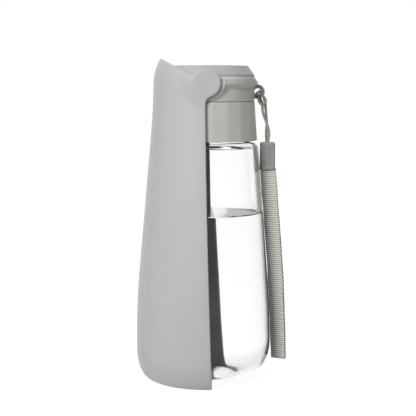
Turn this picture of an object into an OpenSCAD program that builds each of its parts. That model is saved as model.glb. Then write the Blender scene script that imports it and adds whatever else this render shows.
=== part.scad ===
// Travel water bottle with a fold-out drinking trough.
// Millimetres, +Z up. The origin lies on the bottle's axis, in the plane that
// the folded trough's floor stands on. The trough wraps the -X side, and the
// lanyard hangs at +X. The trough swings about the Y axis at height pivot_z.

/* [Bottle] */
// Height of the trough's hinge axis above the table
pivot_z = 190.6; // [190:0.2:194]
// Height of the bottle's underside above the table
bottle_base_z = 4.5; // [4.4:0.1:6]
// Largest radius of the bottle
bottle_r = 41.45; // [40:0.05:41.8]
// Height at which the bottle is widest
bottle_wide_z = 22.5; // [20:0.5:26]
// Taper of the bottle's wall towards the collar, per side, in degrees
bottle_taper = 4.25; // [4.1:0.05:4.5]
// Height over which the wall bends into its taper
bottle_bend_h = 39; // [30:1:44]
// How far the bottle's lower rounding draws in
base_round_in = 6; // [5:0.5:8]
// Wall of the bottle
bottle_wall = 2.4; // [2:0.1:3]
// Thickness of the bottle's base
bottle_floor = 3.4; // [3:0.1:5]
// Height of the raised dome in the bottle's base
punt_h = 3; // [1:0.5:4]
// Radius of the raised dome in the bottle's base
punt_r = 22; // [14:1:26]
// Level of the bottle's shoulder
shoulder_z = 152.8; // [152:0.1:153.2]
// Rounding of the bottle's shoulder
shoulder_round = 3.8; // [2.8:0.1:4]
// How far the bottle's neck lies inside the head's side
neck_in = 3.45; // [3.25:0.05:4.65]
// Wall of the neck
neck_wall = 2.3; // [2:0.1:3]
// Height of the screw ridges
ridge_h = 0.9; // [0.5:0.1:1]
// Distance from one screw ridge to the next
ridge_pitch = 5; // [4.6:0.1:5.2]
// Level of the water
water_z = 107; // [60:1:130]

/* [Collar] */
// Level of the collar's lower edge
collar_z0 = 154.1; // [153:0.1:155]
// Level of the seam between the collar and the head
seam_z = 178.9; // [178.6:0.1:179.6]
// How far the facet corners stand out from the head at the seam
collar_out = 0.55; // [0.35:0.05:0.95]
// How much the collar widens down to its lower edge
collar_flare = 1.7; // [1.4:0.05:2.8]
// Number of grip facets
facets = 20; // [16:1:24]
// Thickness of the gasket on the bottle's mouth
gasket_t = 1.4; // [1:0.1:2]

/* [Head] */
// Radius of the head above the seam
head_r = 30.65; // [30.5:0.05:30.8]
// How far the lip stands out behind the ears
lip_out = 2.25; // [1.35:0.05:2.75]
// Level of the top of the lip
lip_z = 192; // [191.6:0.1:192.2]
// Thickness of the lip at its edge
lip_t = 2.1; // [1.5:0.1:2.5]
// Height of the chamfer under the lip
lip_chamfer = 2.6; // [1.5:0.1:3]
// Wall of the head about its room
head_wall = 4.05; // [3.85:0.05:4.65]
// Thickness of the deck that carries the valve
deck_t = 2.6; // [2.2:0.1:2.8]
// Height of the stepped seal band
band_h = 3.4; // [3.2:0.1:3.6]
// How far the seal band's lower step stands out from the head's side
band_out = 0.4; // [0:0.05:0.5]
// How far the seal band's upper step stands in from the head's side
band_in = 0.65; // [0.4:0.05:0.9]
// How far the top cap stands in from the head's side
cap_in = 0.75; // [0.65:0.05:1.2]
// Thickness of the top cap at its edge
cap_t = 5.9; // [5.6:0.1:6]
// Rounding of the top cap's edge
cap_round = 3.6; // [2:0.1:3.8]
// Width of the outlet slot in the top cap
outlet_w = 6; // [5.4:0.1:6.6]
// Length of the outlet slot in the top cap
outlet_l = 14; // [11:0.5:17]

/* [Trough] */
// How far the trough's outside stands off the bottle at their widest
trough_stand = 4.2; // [3.95:0.05:5.55]
// Wall of the trough
trough_wall = 1.8; // [1.6:0.1:1.9]
// Thickness of the trough's floor
trough_floor = 1.6; // [1.4:0.1:1.7]
// How far the trough's domed part stands off the head's side
dome_stand = 3.25; // [3.15:0.05:3.55]
// Slope of the trough's mouth edge above the hinge axis, in degrees
mouth_slope = 28; // [26:0.5:30]
// Radius of an ear
ear_r = 8.8; // [8.4:0.1:9]
// How far the folded trough reaches behind the axis at its floor
rim_back = 3.5; // [2:0.1:4]

/* [Hinge] */
// Diameter of a hinge pin
pin_d = 4; // [3.4:0.1:4.4]
// Thickness of a hinge washer
washer_t = 0.5; // [0.4:0.05:0.6]
// How far a hinge boss's face stands out from the head's side
boss_out = 0.75; // [0.65:0.05:0.85]

/* [Valve] */
// Travel of the button
button_travel = 3; // [2:0.1:3]
// Radius of the button
button_r = 4.2; // [3.8:0.1:4.3]
// Diameter of the valve's stem
stem_d = 3.2; // [2.8:0.1:3.4]
// Radius of the valve's plug
plug_r = 7.6; // [7.2:0.1:8.2]
// Radius of the water passage through the deck
passage_r = 5.6; // [5.4:0.1:5.8]
// Length of each arm of the rocker
rocker_arm = 5; // [4.8:0.1:5.1]
// Diameter of the rocker's pin
rocker_pin_d = 2; // [1.6:0.1:2.2]
// Wire of the valve's spring
wire_d = 0.7; // [0.5:0.05:0.75]

/* [Lanyard] */
// Diameter of the cord
cord_d = 1.7; // [1.4:0.1:1.8]
// Radius of the hole in the eyelet
eyelet_hole_r = 2.1; // [2:0.1:2.2]
// Width of the strap
strap_w = 10; // [8:0.1:10.2]
// Thickness of one ply of the strap
strap_t = 1.1; // [0.8:0.1:1.2]
// Width of the ferrule
ferrule_w = 9.7; // [9:0.1:12]
// Depth of the ferrule
ferrule_d = 5.6; // [5:0.1:7]
// Height of the ferrule
ferrule_h = 17.8; // [15:0.1:19]

/* [Hidden] */
$fn = 96;
eps = 0.01;
fit = 0.05;                                  // radial play of a pin or a seat
gap = 0.3;                                   // play between moving neighbours

// Whatever the trough's floor sweeps past lies inside this radius about
// the hinge axis.
sweep_r = pivot_z - trough_floor - gap;

// Outline of the bottle
bend_rad = bottle_bend_h / sin(bottle_taper);
bend_z = bottle_wide_z + bottle_bend_h;
bend_r = bottle_r - bend_rad * (1 - cos(bottle_taper));
shoulder_r = bend_r
    - tan(bottle_taper) * (shoulder_z - shoulder_round - bend_z);
neck_fillet = 1.5;

// Screw joint between the bottle and the collar
neck_r = head_r - neck_in;
collar_r1 = head_r + collar_out;
collar_r0 = collar_r1 + collar_flare;
collar_bore = neck_r + ridge_h + 0.4;
ridge_half = 1;
ridge_tip = 0.45;
ridge_count = 3;
ridge_z0 = collar_z0 + 6.4;
ridge_shift = 1.75;
seam_chamfer = 0.35;
spigot_z0 = seam_z - 3.6;
spigot_in_r = neck_r - neck_wall;
neck_top = spigot_z0 - gasket_t;

// Head
lip_r = head_r + lip_out;
room_r = head_r - head_wall;
band_r0 = head_r + band_out;
band_r1 = head_r - band_in;
cap_r = head_r - cap_in;
deck_z0 = seam_z + 1.2;
deck_z1 = deck_z0 + deck_t;
cap_z0 = lip_z + band_h;
cap_z1 = cap_z0 + cap_t;
cap_plate = 2.6;
cap_skirt_wall = 2.2;
band_seat_r = room_r + 2;
outlet_x = room_r - 6;
screw_ring_r = outlet_x;
screw_d = 2.4;
screw_head_r = 2.3;
screw_head_h = 1.5;
screw_len = 8;
post_r = 3;

// Eyelet behind the head
eyelet_x = head_r + eyelet_hole_r;
eyelet_z = pivot_z - 5.5;
eyelet_r = eyelet_hole_r + 2.4;
eyelet_t = 3;

// Hinge
boss_y = head_r + boss_out;
boss_r = ear_r + 1.3;
boss_core_r = pin_d / 2 + 2.2;
ear_in_y = boss_y + washer_t + fit;
ear_t = 2.35;
ear_out_y = ear_in_y + ear_t;
ear_edge = 0.7;
ear_pad_r = ear_r + 2.6;
pin_y0 = boss_y - 4;
pin_y1 = ear_out_y - 1.1;
valley_round = 4.2;
valley_slope = mouth_slope + 8;
valley_drop = 2.5;
valley_rise = valley_round - valley_drop;
valley_r = sqrt(pow(ear_r + valley_round, 2) - pow(valley_rise, 2));
valley_out = valley_drop / cos(valley_slope)
    / (tan(valley_slope) - tan(mouth_slope));
rim_round = 5;
lip_clear = 3.4;
lip_cut_r = ear_r + lip_clear;

// Outline of the trough
trough_r = bottle_r + trough_stand;
dome_r = head_r + dome_stand;
trough_wide_z = 26;
trough_base_in = 8;
trough_base_h = 18;
trough_bend_h = 45;
trough_taper = 5.22;
trough_bend_rad = trough_bend_h / sin(trough_taper);
trough_waist_z = 150;
waist_stand = 3.48;
waist_r = collar_r0 + waist_stand;
dome_z = pivot_z - 1.3;
rim_top_x = -0.6;
rim_fillet_z = -sqrt(pow(ear_r + rim_round, 2)
    - pow(rim_top_x + rim_round, 2));

// Valve train
button_z = pivot_z - 3.6;
button_face_x = -head_r - 0.55;
button_len = 5;
button_stem_r = 2;
button_stop_x = button_face_x + button_len + button_travel + gap;
button_tube_x = button_stop_x + 1.5;
button_tube_r = button_r + 1.8;
cap_skirt_h = cap_z0 - button_z - button_tube_r - gap;
seal_wire = 0.9;
seal_x = -head_r + 3.2;
nose_r = 1;
finger_t = 1.2;
contact = 0.1;
rocker_t = 3.2;
hub_r = 2.2;
rocker_x = -8;
rocker_z = pivot_z - 1.4;
rocker_half = asin(button_travel / 2 / rocker_arm);
finger_x = rocker_x - rocker_arm * sin(rocker_half) - nose_r - contact;
stem_head_z = rocker_z + rocker_arm * sin(rocker_half) - nose_r - contact;
stem_head_t = 1.2;
stem_head_r = 4.2;
guide_r = 3.9;
seat_t = 1.4;
plug_t = 2.2;
plug_z1 = deck_z0 - seat_t - fit;
clip_t = 0.8;

// Lanyard. The cord rises from the ferrule behind the eyelet's limb, comes
// forward through its hole, crosses before its own legs, goes back through
// the hole and down: a lark's head.
ferrule_x = eyelet_x + 6.55;
ferrule_z0 = eyelet_z - 50;
ferrule_z1 = ferrule_z0 + ferrule_h;
ferrule_round = 1.4;
cord_route = [for (p = [
        [5.95, 0.9, -33.2], [5.85, 0.95, -30.3], [5.65, 0.95, -27.1],
        [5.8, 1, -23.3], [6, 1, -20.7], [5.85, 1, -18.1],
        [5.65, 0.95, -15.6], [5.35, 0.8, -11.8], [5, 0.5, -8.2],
        [4.7, 1.4, -6], [4.1, 2.5, -4.1], [3.1, 2.9, -2.3],
        [2, 2.7, -0.9], [1.05, 1.7, 0], [1.1, 0, 0.1],
        [1.05, -1.7, 0], [1.8, -2.7, -1], [2.9, -3, -2.4],
        [4, -3, -3.7], [4.8, -2.8, -4.9], [5, -2.6, -6.2],
        [4.4, -2.7, -7.4], [3.2, -2.9, -8.1], [1.9, -2.9, -7.8],
        [1, -2.9, -6.5], [0.5, -2.9, -4.8], [0, -2.8, -3],
        [-0.45, -2.5, -1.5], [-0.5, -1.6, -0.95], [-0.5, 0, -0.95],
        [-0.45, 1.6, -0.95], [0.2, 2.7, -2], [1.2, 2.9, -3.6],
        [2, 2.5, -5.1], [2.7, 1.3, -6.6], [3.2, -0.2, -8.2],
        [3.1, -0.7, -10.4], [3.3, -0.8, -12.6], [4.05, -0.95, -15.6],
        [5.05, -1, -18.1], [6.05, -1, -20.7], [6.9, -1, -23.3],
        [7.4, -0.95, -27.1], [7, -0.9, -30.3], [6.8, -0.8, -33.2]])
    [eyelet_x, 0, eyelet_z] + p];
strap_route = [
    [39.7, 0, 136], [40.1, 0, 131], [40.9, 0, 120], [42, 0, 106],
    [43.3, 0, 90], [44.7, 0, 72], [45.7, 0, 54], [46.5, 0, 36],
    [47, 0, 20], [47.3, 0, 11.2]];
strap_open = 0.9;
strap_end = [47.4, 0, 10.3];

// Quarter of the bottle's lower rounding, `inset` inside its outer face,
// lifted where the trough's floor sweeps past.
function base_curve(inset, z0) = [
    for (a = [-90:6:0])
        let (r = bottle_r - base_round_in + (base_round_in - inset) * cos(a))
        let (z = bottle_wide_z + (bottle_wide_z - z0) * sin(a))
        [r, max(z, pivot_z - sqrt(pow(sweep_r - inset, 2) - r * r) + inset)]];

// The wall from its widest place up to the start of its taper
function wall_curve(inset) = [
    for (a = [0.5:0.5:bottle_taper])
        [bottle_r - inset - bend_rad * (1 - cos(a)),
            bottle_wide_z + bend_rad * sin(a)]];

// Shoulder rounding, from the taper in to the flat
function shoulder_curve(inset) = [
    for (a = [bottle_taper:8:90])
        [shoulder_r - shoulder_round + (shoulder_round - inset) * cos(a),
            shoulder_z - shoulder_round + (shoulder_round - inset) * sin(a)]];

// The raised dome of the bottle's base, from the axis outward
function punt_curve(z) = [
    for (t = [0:0.125:1])
        [punt_r * t, z + punt_h * pow(cos(90 * t), 2)]];

// Radius of the bottle's inner wall at height z
function inner_r(z) =
    z > bend_z
        ? bend_r - bottle_wall - tan(bottle_taper) * (z - bend_z)
        : bottle_r - bottle_wall - bend_rad
            + sqrt(pow(bend_rad, 2) - pow(z - bottle_wide_z, 2));

module ridge(z, r, side) {
    rotate_extrude()
        polygon([[r - side * 0.5, z - ridge_half],
            [r, z - ridge_half],
            [r + side * ridge_h, z - ridge_tip],
            [r + side * ridge_h, z + ridge_tip],
            [r, z + ridge_half],
            [r - side * 0.5, z + ridge_half]]);
}

module bottle_outer() {
    rotate_extrude()
        polygon(concat(
            punt_curve(bottle_base_z),
            base_curve(0, bottle_base_z),
            wall_curve(0),
            shoulder_curve(0),
            [[neck_r + neck_fillet, shoulder_z],
                [neck_r, shoulder_z + neck_fillet],
                [neck_r, neck_top],
                [0, neck_top]]));
}

module bottle_room(top) {
    floor_z = bottle_base_z + bottle_floor;
    rotate_extrude()
        polygon(concat(
            punt_curve(floor_z),
            base_curve(bottle_wall, floor_z),
            wall_curve(bottle_wall),
            shoulder_curve(bottle_wall),
            [[spigot_in_r, shoulder_z - bottle_wall + neck_fillet],
                [spigot_in_r, top],
                [0, top]]));
}

module bottle() {
    color("aliceblue", 0.35) {
        difference() {
            bottle_outer();
            bottle_room(neck_top + 1);
        }
        for (i = [0:ridge_count - 1])
            ridge(ridge_z0 + i * ridge_pitch, neck_r, 1);
    }
}

module water() {
    inset = bottle_wall + fit;
    floor_z = bottle_base_z + bottle_floor + fit;
    color("lightskyblue", 0.4)
        rotate_extrude()
            polygon(concat(
                punt_curve(floor_z),
                base_curve(inset, floor_z),
                [for (p = wall_curve(inset)) if (p[1] < water_z - 1) p],
                [[inner_r(water_z) - fit, water_z], [0, water_z]]));
}

module bottle_gasket() {
    color("white")
        translate([0, 0, neck_top + eps])
            difference() {
                cylinder(r = neck_r, h = gasket_t - 2 * eps);
                translate([0, 0, -1])
                    cylinder(r = spigot_in_r, h = gasket_t + 2);
            }
}

module grip_collar() {
    color("silver")
        difference() {
            translate([0, 0, collar_z0])
                linear_extrude(height = seam_z - collar_z0 - 0.2,
                    scale = collar_r1 / collar_r0)
                    polygon([for (i = [0:facets - 1])
                        let (a = (i + 0.5) * 360 / facets + 6)
                        collar_r0 * [cos(a), sin(a)]]);
            difference() {
                translate([0, 0, collar_z0 - 1])
                    cylinder(r = collar_bore, h = seam_z - collar_z0 + 2);
                for (i = [0:ridge_count - 1])
                    ridge(ridge_z0 - ridge_shift + i * ridge_pitch,
                        collar_bore, -1);
            }
        }
}

// Body of the head without its openings
module head_solid() {
    rotate_extrude()
        polygon([
            [0, deck_z0],
            [spigot_in_r, deck_z0],
            [spigot_in_r, spigot_z0],
            [collar_bore - fit, spigot_z0],
            [collar_bore - fit, seam_z],
            [head_r - seam_chamfer, seam_z],
            [head_r, seam_z + seam_chamfer],
            [head_r, lip_z],
            [band_seat_r, lip_z],
            [band_seat_r, cap_z0 - fit],
            [room_r, cap_z0 - fit],
            [room_r, deck_z1],
            [0, deck_z1]]);
}

module rear_lip() {
    difference() {
        rotate([0, 0, -90])
            rotate_extrude(angle = 180)
                polygon([
                    [head_r - 1, lip_z - lip_t - lip_chamfer],
                    [head_r, lip_z - lip_t - lip_chamfer],
                    [lip_r - 0.3, lip_z - lip_t],
                    [lip_r, lip_z - lip_t + 0.3],
                    [lip_r, lip_z - 0.4],
                    [lip_r - 0.4, lip_z],
                    [head_r - 1, lip_z]]);
        along_y(-lip_r - 1, lip_r + 1)
            cylinder(r = lip_cut_r, h = 2 * lip_r + 2);
    }
}

// Children built along +Z from y0 come to lie along +Y on the hinge axis
module along_y(y0, y1) {
    translate([0, y0, pivot_z])
        rotate([-90, 0, 0])
            children();
}

module hinge_boss(side) {
    mirror([0, (1 - side) / 2, 0])
        intersection() {
            union() {
                along_y(room_r - 4, boss_y)
                    cylinder(r = boss_core_r, h = boss_y - room_r + 4);
                intersection() {
                    along_y(room_r - 4, boss_y)
                        cylinder(r = boss_r, h = boss_y - room_r + 4);
                    translate([-boss_r - 1, 0, seam_z + 0.4])
                        cube([2 * boss_r + 2, boss_y + 1,
                            lip_z - seam_z - 0.4]);
                }
            }
            difference() {
                cylinder(r = lip_r + 4, h = cap_z0);
                translate([0, 0, -1])
                    cylinder(r = room_r + 0.4, h = cap_z0 + 2);
            }
        }
}

module eyelet() {
    translate([eyelet_x, eyelet_t / 2, eyelet_z])
        rotate([90, 0, 0])
            cylinder(r = eyelet_r, h = eyelet_t);
    translate([head_r - 1, -eyelet_t / 2, eyelet_z - eyelet_r])
        cube([eyelet_x - head_r + 1, eyelet_t, 2 * eyelet_r]);
}

module screw_places() {
    for (a = [45:90:315])
        rotate([0, 0, a])
            translate([screw_ring_r, 0, 0])
                children();
}

module rocker_cheeks() {
    for (side = [-1, 1])
        translate([rocker_x - hub_r, side > 0 ? rocker_t / 2 + gap
                : -rocker_t / 2 - gap - 1.6, deck_z1 - 0.5])
            cube([2 * hub_r, 1.6, rocker_z + hub_r - deck_z1 + 0.5]);
}

module head_shell() {
    color("silver")
        difference() {
            union() {
                head_solid();
                rear_lip();
                hinge_boss(1);
                hinge_boss(-1);
                eyelet();
                rocker_cheeks();
                screw_places()
                    translate([0, 0, deck_z1 - 0.5])
                        cylinder(r = post_r,
                            h = cap_z1 - cap_plate - fit - deck_z1 + 0.5,
                            $fn = 32);
                difference() {
                    translate([-room_r - 1, 0, button_z])
                        rotate([0, 90, 0])
                            cylinder(r = button_tube_r,
                                h = button_tube_x + room_r + 1);
                    translate([0, 0, deck_z0 - 20])
                        cylinder(r = room_r, h = 20);
                }
            }
            // Water passage, crossed by the guide's spokes
            difference() {
                translate([0, 0, deck_z0 - 1])
                    cylinder(r = passage_r, h = deck_t + 2);
                translate([0, 0, deck_z0 - 2])
                    cylinder(r = guide_r, h = deck_t + 4);
                for (a = [0:120:240])
                    rotate([0, 0, a])
                        translate([0, -0.7, deck_z0 - 2])
                            cube([passage_r + 1, 1.4, deck_t + 4]);
            }
            // Bore that guides the valve's stem
            translate([0, 0, deck_z0 - 3])
                cylinder(d = stem_d + 2 * fit, h = deck_t + 6);
            // Button bore, which narrows to guide the button's stem
            translate([-lip_r, 0, button_z])
                rotate([0, 90, 0]) {
                    cylinder(r = button_r + fit, h = lip_r + button_stop_x);
                    cylinder(r = button_stem_r + fit,
                        h = lip_r + button_tube_x + 1);
                }
            // Hinge pins
            for (side = [-1, 1])
                mirror([0, (1 - side) / 2, 0])
                    along_y(pin_y0, boss_y + 1)
                        cylinder(d = pin_d + 2 * eps, h = boss_y - pin_y0 + 1);
            // Rocker pin
            translate([rocker_x, 8, rocker_z])
                rotate([90, 0, 0])
                    cylinder(d = rocker_pin_d + 2 * eps, h = 16);
            // Eyelet hole
            translate([eyelet_x, eyelet_t, eyelet_z])
                rotate([90, 0, 0])
                    cylinder(r = eyelet_hole_r, h = 2 * eyelet_t);
            // Screw holes
            screw_places()
                translate([0, 0, cap_z1 - cap_plate - screw_len])
                    cylinder(d = screw_d + 2 * eps, h = screw_len + 1);
        }
}

module seal_band() {
    color("thistle")
        difference() {
            rotate_extrude()
                polygon([
                    [band_seat_r + fit, lip_z + eps],
                    [band_r0, lip_z + eps],
                    [band_r0, lip_z + band_h * 0.5],
                    [band_r1, lip_z + band_h * 0.5 + 0.3],
                    [band_r1, cap_z0 - eps],
                    [band_seat_r + fit, cap_z0 - eps]]);
            for (side = [-1, 1])
                mirror([0, (1 - side) / 2, 0])
                    along_y(room_r, boss_y)
                        cylinder(r = boss_core_r + fit, h = 8);
        }
}

module top_cap() {
    color("silver")
        difference() {
            union() {
                rotate_extrude()
                    polygon(concat(
                        [[0, cap_z0], [cap_r - 0.2, cap_z0],
                            [cap_r, cap_z0 + 0.2]],
                        [for (a = [0:10:90])
                            [cap_r - cap_round + cap_round * cos(a),
                                cap_z1 - cap_round + cap_round * sin(a)]],
                        [[0, cap_z1]]));
                translate([0, 0, cap_z0 - cap_skirt_h])
                    cylinder(r = room_r - fit, h = cap_skirt_h + 1);
            }
            translate([0, 0, cap_z0 - cap_skirt_h - 1])
                cylinder(r = room_r - fit - cap_skirt_wall,
                    h = cap_skirt_h + 1 + cap_t - cap_plate);
            screw_places() {
                cylinder(d = screw_d + 0.4, h = cap_z1 + 1);
                translate([0, 0, cap_z1 - screw_head_h - 0.1])
                    cylinder(r = screw_head_r + 0.2, h = screw_head_h + 1);
                translate([0, 0, cap_z0 - cap_skirt_h - 1])
                    cylinder(r = post_r + gap,
                        h = cap_skirt_h + 1 + cap_t - cap_plate);
            }
            // Outlet slot
            translate([outlet_x, 0, cap_z0 - 1]) {
                translate([-outlet_w / 2, (outlet_w - outlet_l) / 2, 0])
                    cube([outlet_w, outlet_l - outlet_w, cap_t + 2]);
                for (side = [-1, 1])
                    translate([0, side * (outlet_l - outlet_w) / 2, 0])
                        cylinder(d = outlet_w, h = cap_t + 2);
            }
            for (side = [-1, 1])
                translate([0, side * room_r, cap_z0 - cap_skirt_h - 1])
                    cylinder(r = boss_core_r + gap, h = cap_skirt_h + 1);
        }
}

module cap_screws() {
    color("lightsteelblue")
        screw_places() {
            translate([0, 0, cap_z1 - screw_head_h - 0.1 + eps])
                difference() {
                    cylinder(r = screw_head_r, h = screw_head_h, $fn = 32);
                    translate([0, 0, screw_head_h - 0.8])
                        cylinder(r = 1.1, h = 1, $fn = 6);
                }
            translate([0, 0, cap_z1 - cap_plate - screw_len + 0.3])
                cylinder(d = screw_d,
                    h = screw_len + cap_plate - screw_head_h - 0.3,
                    $fn = 32);
        }
}

module valve_seat() {
    color("white")
        translate([0, 0, deck_z0 - seat_t])
            difference() {
                cylinder(r = plug_r + 1, h = seat_t - eps);
                translate([0, 0, -1])
                    cylinder(r = passage_r, h = seat_t + 2);
            }
}

module valve_stem() {
    color("white") {
        translate([0, 0, plug_z1 - plug_t - clip_t - 1.2])
            cylinder(d = stem_d,
                h = stem_head_z - plug_z1 + plug_t + clip_t + 1.2);
        translate([0, 0, stem_head_z - stem_head_t])
            cylinder(r = stem_head_r, h = stem_head_t);
    }
}

module valve_plug() {
    color("gainsboro")
        translate([0, 0, plug_z1 - plug_t])
            difference() {
                cylinder(r1 = plug_r - 1, r2 = plug_r, h = plug_t);
                translate([0, 0, -1])
                    cylinder(d = stem_d + 2 * eps, h = plug_t + 2);
            }
}

module stem_clip() {
    color("lightsteelblue")
        translate([0, 0, plug_z1 - plug_t - clip_t - eps])
            difference() {
                cylinder(r = stem_d / 2 + 1.8, h = clip_t);
                translate([0, 0, -1])
                    cylinder(d = stem_d + 2 * eps, h = clip_t + 2);
            }
}

// A tube of `sides` sides along the points of `route`
module tube(route, r, sides) {
    n = len(route);
    dirs = [for (i = [0:n - 1])
        let (d = route[min(i + 1, n - 1)] - route[max(i - 1, 0)])
        d / norm(d)];
    rings = [for (i = [0:n - 1])
        let (side = cross(dirs[i], [0.05, 1, 0.1]))
        let (u = side / norm(side), v = cross(dirs[i], u))
        for (k = [0:sides - 1])
            route[i] + r * (u * cos(k * 360 / sides)
                + v * sin(k * 360 / sides))];
    polyhedron(rings, concat(
        [[for (k = [0:sides - 1]) k]],
        [for (i = [0:n - 2], k = [0:sides - 1])
            let (a = i * sides + k, b = i * sides + (k + 1) % sides)
            [b, a, a + sides, b + sides]],
        [[for (k = [0:sides - 1]) n * sides - 1 - k]]));
}

module valve_spring() {
    turns = 3;
    spring_r = guide_r - wire_d / 2 - 0.1;
    z0 = deck_z1 + wire_d / 2 + 0.05;
    z1 = stem_head_z - stem_head_t - wire_d / 2 - 0.05;
    color("lightsteelblue")
        tube([for (t = [0:1 / 48:1])
            [spring_r * cos(360 * turns * t), spring_r * sin(360 * turns * t),
                z0 + (z1 - z0) * t]], wire_d / 2, 8);
}

// Arm from the hub to its rounded nose, at `a` degrees from +X towards +Z
module rocker_finger(a) {
    rotate([0, -a, 0]) {
        translate([0, -rocker_t / 2, -finger_t / 2])
            cube([rocker_arm, rocker_t, finger_t]);
        translate([rocker_arm, rocker_t / 2, 0])
            rotate([90, 0, 0])
                cylinder(r = nose_r, h = rocker_t, $fn = 32);
    }
}

module rocker() {
    color("white")
        translate([rocker_x, 0, rocker_z])
            difference() {
                union() {
                    translate([0, rocker_t / 2, 0])
                        rotate([90, 0, 0])
                            cylinder(r = hub_r, h = rocker_t);
                    rocker_finger(rocker_half);
                    rocker_finger(90 + rocker_half);
                }
                translate([0, rocker_t, 0])
                    rotate([90, 0, 0])
                        cylinder(d = rocker_pin_d + 2 * fit, h = 2 * rocker_t);
            }
}

module rocker_pin() {
    pin_len = rocker_t + 2 * gap + 3.2;
    color("lightsteelblue")
        translate([rocker_x, pin_len / 2, rocker_z])
            rotate([90, 0, 0])
                cylinder(d = rocker_pin_d, h = pin_len);
}

module water_button() {
    stem_x0 = button_face_x + button_len;
    riser_x = rocker_x - hub_r - button_travel - gap;
    nose_z = rocker_z + rocker_arm * cos(rocker_half);
    finger_z0 = nose_z - 0.8 * nose_r;
    color("dimgray") {
        difference() {
            translate([button_face_x, 0, button_z])
                rotate([0, 90, 0])
                    cylinder(r = button_r, h = button_len);
            translate([seal_x, 0, button_z])
                rotate([0, 90, 0])
                    rotate_extrude()
                        translate([button_r, 0])
                            square([2 * seal_wire, seal_wire + 0.1],
                                center = true);
        }
        translate([stem_x0 - 1, 0, button_z])
            rotate([0, 90, 0])
                cylinder(r = button_stem_r, h = riser_x - stem_x0 + 1);
        translate([riser_x - 1.5, -2.2, button_z - button_stem_r])
            cube([1.5, 4.4, nose_z + nose_r - button_z + button_stem_r]);
        translate([riser_x - 1.5, -2.2, finger_z0])
            cube([finger_x - riser_x + 1.5, 4.4,
                nose_z + nose_r - finger_z0]);
    }
}

module button_seal() {
    color("black")
        translate([seal_x, 0, button_z])
            rotate([0, 90, 0])
                rotate_extrude()
                    translate([button_r - seal_wire / 2, 0])
                        circle(d = seal_wire, $fn = 32);
}

module button_clip() {
    color("lightsteelblue")
        translate([button_tube_x + 0.1, 0, button_z])
            rotate([0, 90, 0])
                difference() {
                    cylinder(r = button_stem_r + 1.6, h = clip_t);
                    translate([0, 0, -1])
                        cylinder(r = button_stem_r + eps, h = clip_t + 2);
                }
}

function arc(centre, r, from, to) = [
    for (t = [0:0.125:1])
        let (a = from + (to - from) * t)
        centre + r * [cos(a), sin(a)]];

// Side outline of the folded trough, seen along the hinge axis: x, z. The
// ears' discs cover its corner at the hinge.
module trough_outline() {
    far = 2 * trough_r;
    pivot = [0, pivot_z];
    below = pivot + [rim_top_x + rim_round, rim_fillet_z];
    above = pivot
        + [-valley_r * cos(valley_slope) + valley_rise * sin(valley_slope),
            valley_r * sin(valley_slope) + valley_rise * cos(valley_slope)];
    to_below = atan2(pivot[1] - below[1], pivot[0] - below[0]);
    to_above = atan2(pivot[1] - above[1], pivot[0] - above[0]);
    polygon(concat(
        [for (t = [1:-0.125:0.1])
            [rim_top_x + (rim_back - rim_top_x) * pow(t, 1.5),
                below[1] * (1 - t) - t]],
        arc(below, rim_round, 180, to_below),
        [pivot],
        arc(above, valley_round, to_above, -90 - valley_slope),
        [pivot + valley_out * [-1, tan(mouth_slope)],
            pivot + far * [-cos(mouth_slope), sin(mouth_slope)],
            [-far, -1]]));
}

// Outline of the trough's outer or inner face as a body of revolution
module trough_form(inset, floor_z) {
    rotate_extrude()
        polygon(concat(
            [[0, floor_z]],
            [for (a = [-90:6:0])
                [trough_r - trough_base_in + (trough_base_in - inset) * cos(a),
                    floor_z + trough_base_h * (1 + sin(a))]],
            [for (a = [0:0.5:trough_taper])
                [trough_r - inset - trough_bend_rad * (1 - cos(a)),
                    trough_wide_z + trough_bend_rad * sin(a)]],
            [[waist_r - inset, trough_waist_z]],
            [for (t = [0.2:0.2:0.8])
                [neck_in_r(t) - inset,
                    trough_waist_z + (dome_z - trough_waist_z) * t]],
            [for (a = [0:5:85])
                [(dome_r - inset) * cos(a), dome_z + (dome_r - inset) * sin(a)]],
            [[0, dome_z + dome_r - inset]]));
}

// Radius between the waist (t = 0) and the dome (t = 1)
function neck_in_r(t) = dome_r + (waist_r - dome_r) * pow(1 - t, 1.5);

// The ears' discs, with a softened outer edge
module ears() {
    for (side = [0, 1])
        mirror([0, side, 0])
            along_y(boss_y - 2, ear_out_y) {
                h = ear_out_y - boss_y + 2;
                cylinder(r = ear_r, h = h - ear_edge);
                translate([0, 0, h - ear_edge])
                    cylinder(r1 = ear_r, r2 = ear_r - ear_edge, h = ear_edge);
            }
}

module trough() {
    color("silver")
        difference() {
            union() {
                intersection() {
                    trough_form(0, 0);
                    translate([0, 2 * trough_r, 0])
                        rotate([90, 0, 0])
                            linear_extrude(height = 4 * trough_r)
                                trough_outline();
                }
                ears();
            }
            // The hollow, which leaves a thicker pad behind each ear
            difference() {
                trough_form(trough_wall, trough_floor);
                for (side = [0, 1])
                    mirror([0, side, 0])
                        along_y(ear_in_y, ear_out_y)
                            cylinder(r = ear_pad_r, h = trough_r);
            }
            // Room for the hinge bosses
            along_y(-ear_in_y, ear_in_y)
                cylinder(r = boss_r + gap, h = 2 * ear_in_y);
            // Blind holes for the pins
            along_y(-pin_y1 - fit, pin_y1 + fit)
                cylinder(d = pin_d + 2 * fit, h = 2 * pin_y1 + 2 * fit);
        }
}

module pivot_pin(side) {
    color("lightsteelblue")
        mirror([0, (1 - side) / 2, 0])
            along_y(pin_y0 + eps, pin_y1)
                cylinder(d = pin_d, h = pin_y1 - pin_y0 - eps);
}

module pivot_pin_left() { pivot_pin(-1); }
module pivot_pin_right() { pivot_pin(1); }

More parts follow.
